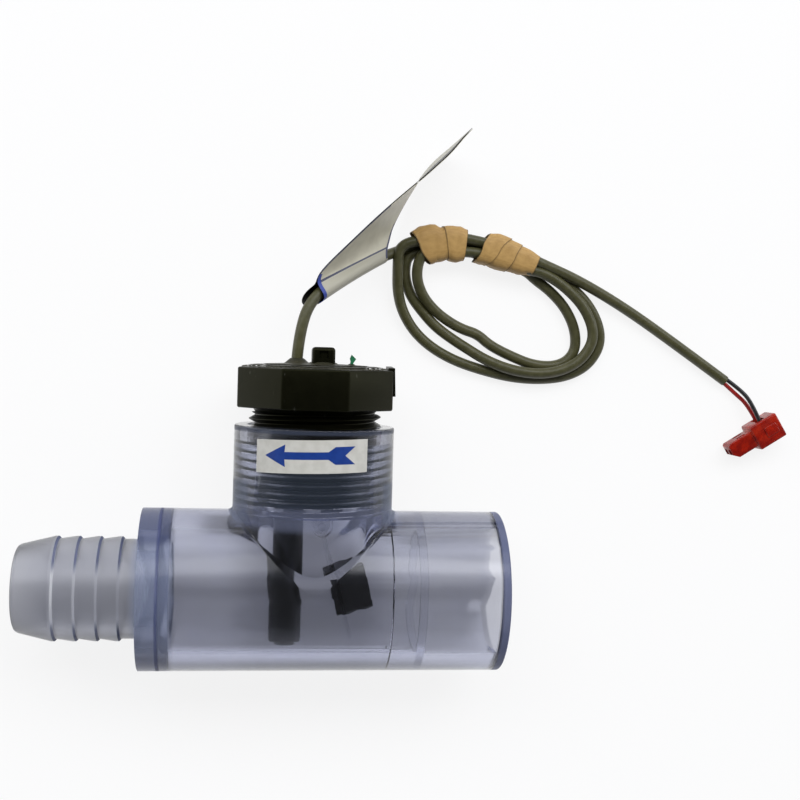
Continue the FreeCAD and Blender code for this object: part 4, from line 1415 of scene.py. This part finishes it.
@dataclass
class PaperTag:
    """Strip of paper folded loosely round the cable, its two plies stuck together as a flag."""

    width: float = 21.5
    ply: float = 0.14
    paper: float = 0.11
    columns: int = 8
    overlap: float = 4.5
    overlap_angle: float = 130.0
    loop_angles: tuple[int, ...] = (55, 90, 125, 160, 195, 230, 265, 300)
    loop_radii: tuple[float, float] = (2.5, 1.95)
    loop_swell: float = 1.6
    loop_mark: float = -0.05
    back_mark: float = -20.0
    loop_start: Point = (12.8, 56.5, 18.4)
    loop_end: Point = (31.1, 68.0, 5.9)
    bow: Point = (-0.2, 0.7, 0.2)
    stations: tuple[tuple[Point, Point], ...] = (
        ((12.3, 58.9, 19.6), (32.1, 70.2, 7.2)),
        ((12.4, 61.4, 20.9), (32.8, 72.3, 5.6)),
        ((16.8, 66.1, 21.5), (33.5, 75.5, 4.1)),
        ((21.4, 70.7, 21.7), (34.6, 77.9, 3.0)),
        ((25.7, 75.1, 21.7), (35.9, 80.6, 1.9)),
        ((31.4, 80.6, 21.7), (37.9, 84.3, 1.0)),
        ((36.2, 84.9, 21.7), (39.8, 87.5, 0.7)),
        ((40.1, 88.3, 21.7), (42.4, 91.8, 0.6)),
        ((43.3, 91.4, 21.7), (45.5, 95.6, 0.6)),
        ((47.0, 94.9, 21.7), (49.2, 98.8, 1.4)),
        ((50.1, 99.1, 21.7), (51.7, 101.0, 10.5)),
        ((52.2, 101.3, 21.7), (52.2, 101.4, 18.5)),
    )

    def across(self, first: Vector, last: Vector, aside: Vector) -> list[Point]:
        """Rule a row of points across the strip from first to last, moved aside as a whole."""
        return [tuple(first.lerp(last, step / self.columns) + aside) for step in range(self.columns + 1)]

    def middles(self) -> list[Vector]:
        """Give the middle of the strip at each station."""
        return [(Vector(first) + Vector(last)) / 2 for first, last in self.stations]

    def travel(self) -> list[float]:
        """Measure how far each station is along the flag.

        Returns:
            Distances from the first station.
        """
        middles = self.middles()
        reached = [0.0]
        for before, after in zip(middles, middles[1:]):
            reached.append(reached[-1] + (after - before).length)
        return reached

    def leaf(self, ply: float) -> list[list[Point]]:
        """Lay one ply of the flag from the loop outwards.

        Args:
            ply: Offset of the ply from the flag's middle.

        Returns:
            Its rows of points.
        """
        middles = self.middles()
        last = len(middles) - 1
        ends = [(Vector(near), Vector(far)) for near, far in self.stations]
        asides = []
        for number, (near, far) in enumerate(ends):
            run = middles[min(number + 1, last)] - middles[max(number - 1, 0)]
            asides.append(run.cross(far - near).normalized())
        if asides[0].z < 0:
            ply = -ply
        return [self.across(near, far, aside * ply) for (near, far), aside in zip(ends, asides)]

    def loop(self) -> list[list[Point]]:
        """Bend the strip round the cable, from the upper ply to the lower one.

        Returns:
            Rows of points.
        """
        start, end = Vector(self.loop_start), Vector(self.loop_end)
        along = (end - start).normalized()
        rise = self.middles()[0] - (start + end) / 2
        rise = (rise - along * rise.dot(along)).normalized()
        facing = along.cross(rise)
        if facing.z < 0:
            facing = -facing
        near, far = self.loop_radii
        rows = []
        for degrees in self.loop_angles:
            angle = math.radians(degrees)
            swing = rise * math.cos(angle) + facing * math.sin(angle)
            slip = self.overlap * max(0.0, math.sin(math.radians(degrees - self.overlap_angle)))
            row = []
            for step in range(self.columns + 1):
                share = step / self.columns
                spot = start.lerp(end, share) + Vector(self.bow) * (4 * share * (1 - share))
                reach = near + (far - near) * share + self.loop_swell * share * (1 - share)
                row.append(tuple(spot + swing * reach - along * slip))
            rows.append(row)
        return rows

    def build(self) -> bpy.types.Object:
        """Fold the strip.

        Returns:
            The tag.
        """
        travel = self.travel()
        rows = self.leaf(self.ply)[::-1] + self.loop() + self.leaf(-self.ply)
        marks = travel[::-1] + [self.loop_mark * degrees for degrees in self.loop_angles]
        marks += [self.back_mark - reached for reached in travel]
        places = [step * self.width / self.columns for step in range(self.columns + 1)]
        tag = woven("paper_tag", rows, [[(place, mark) for place in places] for mark in marks])
        use(tag, "SUBSURF", levels=2, render_levels=2, boundary_smooth="PRESERVE_CORNERS")
        use(tag, "SOLIDIFY", thickness=self.paper * MM, offset=0.0)
        smooth(tag, degrees=60)
        return dress(tag, "tag_paper", ["cable_tag"])


@dataclass
class TapeBand:
    """One turn of tape: its two edges along the bundle, their slants and how far it stands off."""

    start: float
    end: float
    start_slant: float
    end_slant: float
    lift: float


@dataclass
class TapeWrap:
    """Strip of creped tape wound round the bundle in overlapping slanted turns."""

    name: str
    node: str
    stations: tuple[Point, ...]
    bands: tuple[TapeBand, ...]
    half_height: float = 3.25
    middle: float = 3.55
    lowest: float = 0.25
    seed: float = 0.0
    around: int = 96
    wide: int = 14
    power: float = 0.62
    waves: tuple[tuple[float, float, float, float], ...] = ((0.3, 0.22, 0.6, 0.0), (0.14, 0.8, 2.4, 7.0))
    rise_share: float = 0.6
    beside: float = 1.5
    sheet_scale: tuple[float, float] = (4.4, 10.0)
    paper: float = 0.18

    def place(self, where: float) -> Vector:
        """Find a place on the bundle.

        Args:
            where: Distance along the bundle's middle line.

        Returns:
            X and Y of the middle line, and the half width of the wrap there.
        """
        reach = where
        for start, end in zip(self.stations, self.stations[1:]):
            first, second = Vector(start), Vector(end)
            span = (second - first).to_2d().length
            if reach <= span:
                break
            reach -= span
        else:
            reach += span
        share = reach / span
        spot = first.lerp(second, share)
        eased = bounded(share)
        spot.z = first.z + (second.z - first.z) * eased * eased * (3 - 2 * eased)
        return spot

    def boxed(self, share: float) -> float:
        """Swell a sine or cosine, so that a round section turns into a rounded box."""
        return math.copysign(abs(share) ** self.power, share)

    def uneven(self, where: float, wave: float) -> float:
        """Work out how far lumps and creases push the tape out.

        Args:
            where: Distance along the bundle's middle line.
            wave: Angle round the bundle.

        Returns:
            The rise in millimetres.
        """
        swing = Vector((math.cos(wave), math.sin(wave)))
        rise = 0.0
        for depth, stretch, grain, shift in self.waves:
            spot = Vector((where * stretch, swing.x * grain, swing.y * grain + self.seed + shift))
            rise += depth * noise.noise(spot)
        return rise

    def turn(self, band: TapeBand) -> bpy.types.Object:
        """Wind one turn, closed under the bundle.

        Args:
            band: The turn.

        Returns:
            The turn as a sheet.
        """
        rows = []
        sheet = []
        for step in range(self.around + 1):
            angle = (step / self.around - 0.25) * math.tau
            wave = step % self.around / self.around * math.tau
            start = band.start + band.start_slant * math.cos(angle)
            end = band.end + band.end_slant * math.cos(angle)
            row = []
            marks = []
            for cell in range(self.wide + 1):
                share = cell / self.wide
                where = start + (end - start) * share
                spot = self.place(where)
                run = (self.place(where + self.beside) - self.place(where - self.beside)).to_2d().normalized()
                grow = band.lift + self.uneven(where, wave)
                side = self.boxed(math.cos(angle)) * (spot.z + grow)
                rise = self.boxed(math.sin(angle)) * (self.half_height + grow * self.rise_share)
                middle = spot.to_2d() + Vector((-run.y, run.x)) * side
                row.append((middle.x, middle.y, max(self.lowest, self.middle + rise)))
                marks.append((angle * self.sheet_scale[0], share * self.sheet_scale[1]))
            rows.append(row)
            sheet.append(marks)
        return woven(self.name, rows, sheet)

    def build(self) -> bpy.types.Object:
        """Wind every turn and join them into one strip.

        Returns:
            The tape.
        """
        turns = [self.turn(band) for band in self.bands]
        activate(turns[0])
        for sheet in turns:
            sheet.select_set(True)
        bpy.ops.object.join()
        use(turns[0], "SOLIDIFY", thickness=self.paper * MM, offset=0.0)
        smooth(turns[0], degrees=50)
        return dress(turns[0], "crepe_tape", [self.node])


LEFT_TAPE = TapeWrap(
    "tape_left", "coil_tape_left",
    ((38.5, 70.6, 4.1), (41.0, 70.9, 5.0), (43.5, 71.6, 5.4), (45.7, 72.5, 5.3), (47.3, 72.2, 4.7),
     (49.3, 72.8, 4.4), (52.0, 72.3, 4.6), (54.6, 72.1, 3.8)),
    (TapeBand(2.8, 12.0, -1.9, -0.4, 0.0), TapeBand(10.7, 16.3, -0.3, 0.1, 0.35)),
    seed=1.0,
)
RIGHT_TAPE = TapeWrap(
    "tape_right", "coil_tape_right",
    ((56.0, 71.8, 3.3), (60.0, 71.5, 3.7), (63.0, 70.85, 4.2), (66.0, 70.0, 4.1), (70.6, 68.6, 3.8),
     (74.5, 67.1, 3.1), (77.5, 65.9, 2.4)),
    (TapeBand(2.8, 7.9, 1.8, 2.6, 0.7), TapeBand(5.5, 12.7, 2.0, 1.1, 0.35),
     TapeBand(11.2, 19.2, 1.0, 0.1, 0.0)),
    seed=3.0,
)


@dataclass
class RedConnector:
    """Two-way red connector with a narrow nose."""

    rear: Point = (148.05, 24.45, 0.0)
    turn: float = 212.0
    long: float = 8.8
    half: float = 3.7
    tall: float = 7.0
    nose: float = 7.8
    nose_half: float = 2.45
    nose_low: float = 0.9
    nose_high: float = 6.0
    edge: float = 0.45
    pins: tuple[float, float] = (2.2, 4.7)
    ridge: tuple[Point, Point] = ((1.4, -1.5, 6.5), (5.4, 1.5, 7.35))
    ridge_edge: float = 0.25
    slot_x: tuple[float, float] = (6.8, 20.0)
    slot_half: float = 0.85
    window_x: tuple[float, float] = (10.4, 13.2)
    window_y: tuple[float, float] = (-3.2, -2.1)
    window_half: float = 0.5
    corners: tuple[tuple[int, float], ...] = ((1, 1.6), (-1, 0.7))
    corner: tuple[Point, Point] = ((0, -8, -1), (5, 8, 9))
    entry: tuple[Point, Point] = ((3.2, -5, 1.2), (5.8, -2.4, 5.8))
    entry_edge: float = 0.3

    def shell(self) -> bpy.types.Object:
        """Extrude a block into a narrow nose and round its edges.

        Returns:
            The outer shape.
        """
        body = block("connector_shell", (0, -self.half, 0), (self.long, self.half, self.tall))
        with editing(body):
            bpy.ops.mesh.select_mode(type="FACE")
            bpy.ops.mesh.select_all(action="DESELECT")
        for face in body.data.polygons:
            face.select = face.normal.x > 0.9
        bpy.ops.object.mode_set(mode="EDIT")
        middle = (self.long * MM, 0, self.tall / 2 * MM)
        bpy.ops.mesh.extrude_region_move(TRANSFORM_OT_translate={"value": (0, 0, 0)})
        share = (1, self.nose_half / self.half, (self.nose_high - self.nose_low) / self.tall)
        bpy.ops.transform.resize(value=share, center_override=middle)
        drop = (self.nose_high + self.nose_low - self.tall) / 2
        bpy.ops.transform.translate(value=(0, 0, drop * MM))
        bpy.ops.mesh.extrude_region_move(TRANSFORM_OT_translate={"value": (self.nose * MM, 0, 0)})
        bpy.ops.mesh.select_all(action="SELECT")
        bpy.ops.mesh.bevel(offset=self.edge * MM, segments=3, affect="EDGES")
        bpy.ops.object.mode_set(mode="OBJECT")
        return body

    def build(self) -> bpy.types.Object:
        """Add the ridge to the outer shape, then cut its cavities and the corners of the nose.

        Returns:
            The housing.
        """
        body = self.shell()
        combine(body, block("ridge", *self.ridge, self.ridge_edge), Join.WELD)
        for level in self.pins:
            for name, (x, far_x), (y, far_y), half in (
                ("slot", self.slot_x, (-self.slot_half, self.slot_half), self.slot_half),
                ("window", self.window_x, self.window_y, self.window_half),
            ):
                combine(body, block(name, (x, y, level - half), (far_x, far_y, level + half)), Join.CUT)
        for side, depth in self.corners:
            corner = block("corner", *self.corner)
            place = Matrix.Translation(Vector((self.long + self.nose - depth, side * self.nose_half, 0)) * MM)
            corner.data.transform(place @ Matrix.Rotation(math.radians(45 * side), 4, "Z"))
            combine(body, corner, Join.CUT)
        combine(body, block("entry", *self.entry, self.entry_edge), Join.CUT)
        body.data.transform(
            Matrix.Translation(Vector(self.rear) * MM) @ Matrix.Rotation(math.radians(self.turn), 4, "Z")
        )
        smooth(body, degrees=40)
        return dress(body, "red_nylon", ["connector_housing"])


@dataclass
class CarriedParts:
    """CAD pieces that are shown as they are, each in its own finish."""

    wetted: tuple[str, ...] = ("reed_stem", "magnet_carrier", "carrier_keeper")

    def build(self) -> None:
        """Give every CAD piece that is still shown the finish of its slot."""
        for part in frame["record"]["subparts"]:
            node = frame["nodes"][part["node"]]
            if node.hide_render:
                continue
            finish = "inner_black" if part["node"] in self.wetted else part["material_slot"]
            node.data.materials.clear()
            node.data.materials.append(PALETTE.material(finish))
            LOG.info("%s carried over in %s", part["node"], part["material_slot"])


@dataclass
class Studio:
    """White table, soft overhead light and a camera above it; the table shows painted light and shadow to
    rays seen through the clear tee.
    """

    camera_place: Point = (-0.00645, 0.04123, 0.34085)
    camera_aim: Point = (0.1288, -0.0376, -0.991)
    camera_up: Point = (-0.0244, 0.9989, -0.0411)
    lens: float = 54.81
    box_tilt: float = 38.0
    box_x: float = 0.02
    box_distance: float = 0.85
    box_size: tuple[float, float] = (1.2, 0.42)
    box_power: float = 5.0
    table_size: float = 6.0
    table_tone: float = 0.88
    whiteness: float = 0.85
    # Painted light and painted shadow on the table, met only by see-through rays.
    lit_edge: tuple[float, float] = (-27.0, -17.0)
    through_painted_light: tuple[float, float] = (0.25, 0.63)
    neck_shade: float = 0.5
    neck_across: tuple[float, float, float, float] = (-12.0, 2.0, 26.0, 40.0)
    beyond_shade: float = 0.5
    beyond_across: tuple[float, float] = (30.0, 42.0)
    beyond_along: tuple[float, float] = (-13.0, -6.0)
    beside_shade: float = 0.6
    beside_across: tuple[float, float, float, float] = (-20.0, -10.0, 34.0, 44.0)
    beside_along: tuple[float, float] = (-3.0, 4.0)
    room_tint: Colour = (0.96, 0.98, 1.05)
    room_bounds: tuple[float, float] = (0.25, 0.8)
    room_tones: tuple[float, float] = (0.6, 0.12)
    glow: tuple[float, float] = (1.6, 3.0)
    glow_along: tuple[float, float] = (-0.05, 0.2)
    glow_tilt: tuple[float, float, float, float] = (0.4, 0.62, 0.78, 1.02)
    glow_hidden: float = 0.8

    def camera(self) -> None:
        """Set the camera over the table."""
        aim = Vector(self.camera_aim).normalized()
        side = aim.cross(Vector(self.camera_up)).normalized()
        up = side.cross(aim)
        data = bpy.data.cameras.new("camera")
        data.sensor_width = 36.0
        data.lens = self.lens
        data.clip_start = 0.01
        data.clip_end = 20.0
        camera = linked("camera", data)
        turn = Matrix((side, up, -aim)).transposed().to_4x4()
        camera.matrix_world = Matrix.Translation(self.camera_place) @ turn
        bpy.context.scene.camera = camera

    def lights(self) -> None:
        """Hang a long softbox over the far side of the table."""
        data = bpy.data.lights.new("softbox", "AREA")
        data.shape = "RECTANGLE"
        data.size, data.size_y = self.box_size
        data.energy = self.box_power
        tilt = math.radians(self.box_tilt)
        softbox = linked("softbox", data)
        reach = self.box_distance
        softbox.location = (self.box_x, reach * math.sin(tilt), reach * math.cos(tilt))
        softbox.rotation_euler = (-tilt, 0, 0)
        softbox.visible_glossy = False
        softbox.visible_transmission = False

    def seen(self, graph: Graph) -> tuple[Value, Value]:
        """Find how much of its own white the table shows to a ray, and how much of the light on it, with
        painted light and shadow for see-through rays.

        Args:
            graph: Graph of the table.

        Returns:
            A share of white for camera and mirror rays; for see-through rays a painted light, stronger on the
            far side of the tee, with painted shadow under the neck, beyond the run and beside the neck; and
            nought for the rest; then the share of the table's own tone, less as painted shade for see-through
            rays beyond the run and beside the neck.
        """
        through = graph.ray("Transmission")
        straight = graph.math("MAXIMUM", graph.ray("Camera"), graph.ray("Glossy") * (1.0 - through))
        here = graph.place()
        across, along = graph.axis(here, 0), graph.axis(here, 1)
        # Painted light for see-through rays, stronger on the far side of the tee.
        lit = graph.ramp(along, *self.lit_edge, *self.through_painted_light)
        # Painted shadow for see-through rays under the neck, beyond the run and beside the neck.
        below_neck = graph.band(across, *self.neck_across)
        beyond = graph.ramp(across, *self.beyond_across) * graph.ramp(along, *self.beyond_along)
        beside = graph.ramp(along, *self.beside_along) * graph.band(across, *self.beside_across)
        tone = (1.0 - beyond * self.beyond_shade) * (1.0 - beside * self.beside_shade)
        shade = (1.0 - below_neck * self.neck_shade) * tone
        white = graph.math("MAXIMUM", straight * self.whiteness, through * lit * shade)
        return white, 1.0 - through * (1.0 - tone)

    def floor(self) -> None:
        """Lay a white table that keeps the object's shadow, and that shows painted light and shadow to
        see-through rays.
        """
        bpy.ops.object.select_all(action="DESELECT")
        bpy.ops.mesh.primitive_plane_add(size=self.table_size)
        floor = added("table")
        material = bpy.data.materials.new("table_look")
        material.use_nodes = True
        graph = Graph(material.node_tree)
        share, tone = self.seen(graph)
        white = graph.value("ShaderNodeEmission", None, {"Color": (1.0, 1.0, 1.0), "Strength": 1.0})
        surface = graph.blend(share, graph.matt(tone * self.table_tone), white)
        graph.node("ShaderNodeOutputMaterial", None, {"Surface": surface})
        floor.data.materials.append(material)

    def sky(self) -> None:
        """Make a room that is pale at the horizon, dim overhead and lit by a soft window beyond the table."""
        world = bpy.data.worlds.new("room")
        world.use_nodes = True
        bpy.context.scene.world = world
        graph = Graph(world.node_tree)
        way = graph.value("ShaderNodeTexCoord", None, None, "Generated")
        along, across, height = (graph.axis(way, number) for number in range(3))
        window = graph.band(graph.math("ARCTAN2", across, height), *self.glow_tilt)
        hidden = 1.0 - graph.ray("Transmission") * self.glow_hidden
        glow = window * graph.ramp(along, *self.glow_along, *self.glow) * hidden
        tone = graph.ramp(height, *self.room_bounds, *self.room_tones) + glow
        room = graph.value("ShaderNodeBackground", None, {"Color": self.room_tint, "Strength": tone})
        white = graph.value("ShaderNodeBackground", None, {"Color": (1.0, 1.0, 1.0), "Strength": 1.0})
        surface = graph.blend(graph.ray("Camera"), room, white)
        graph.node("ShaderNodeOutputWorld", None, {"Surface": surface})

    def build(self) -> None:
        """Set up everything round the object."""
        bpy.context.scene.view_settings.view_transform = "Standard"
        self.camera()
        self.lights()
        self.floor()
        self.sky()


def main() -> None:
    """Build every sub-assembly in order."""
    logging.basicConfig(level=logging.INFO, format="%(name)s: %(message)s")
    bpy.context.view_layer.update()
    thread = PipeThread()
    Studio().build()
    lead = CoiledLead()
    cable, black, red = lead.build()
    tag = PaperTag().build()
    left = LEFT_TAPE.build()
    right = RIGHT_TAPE.build()
    connector = RedConnector().build()
    lead.declare(cable)
    ClearTee(thread).build()
    HoseBarb().build()
    SwitchPlug(thread).build()
    CapScrew().build()
    ResinFill().build()
    FlowLabel().build()
    CarriedParts().build()


if __name__ == "__main__":
    main()
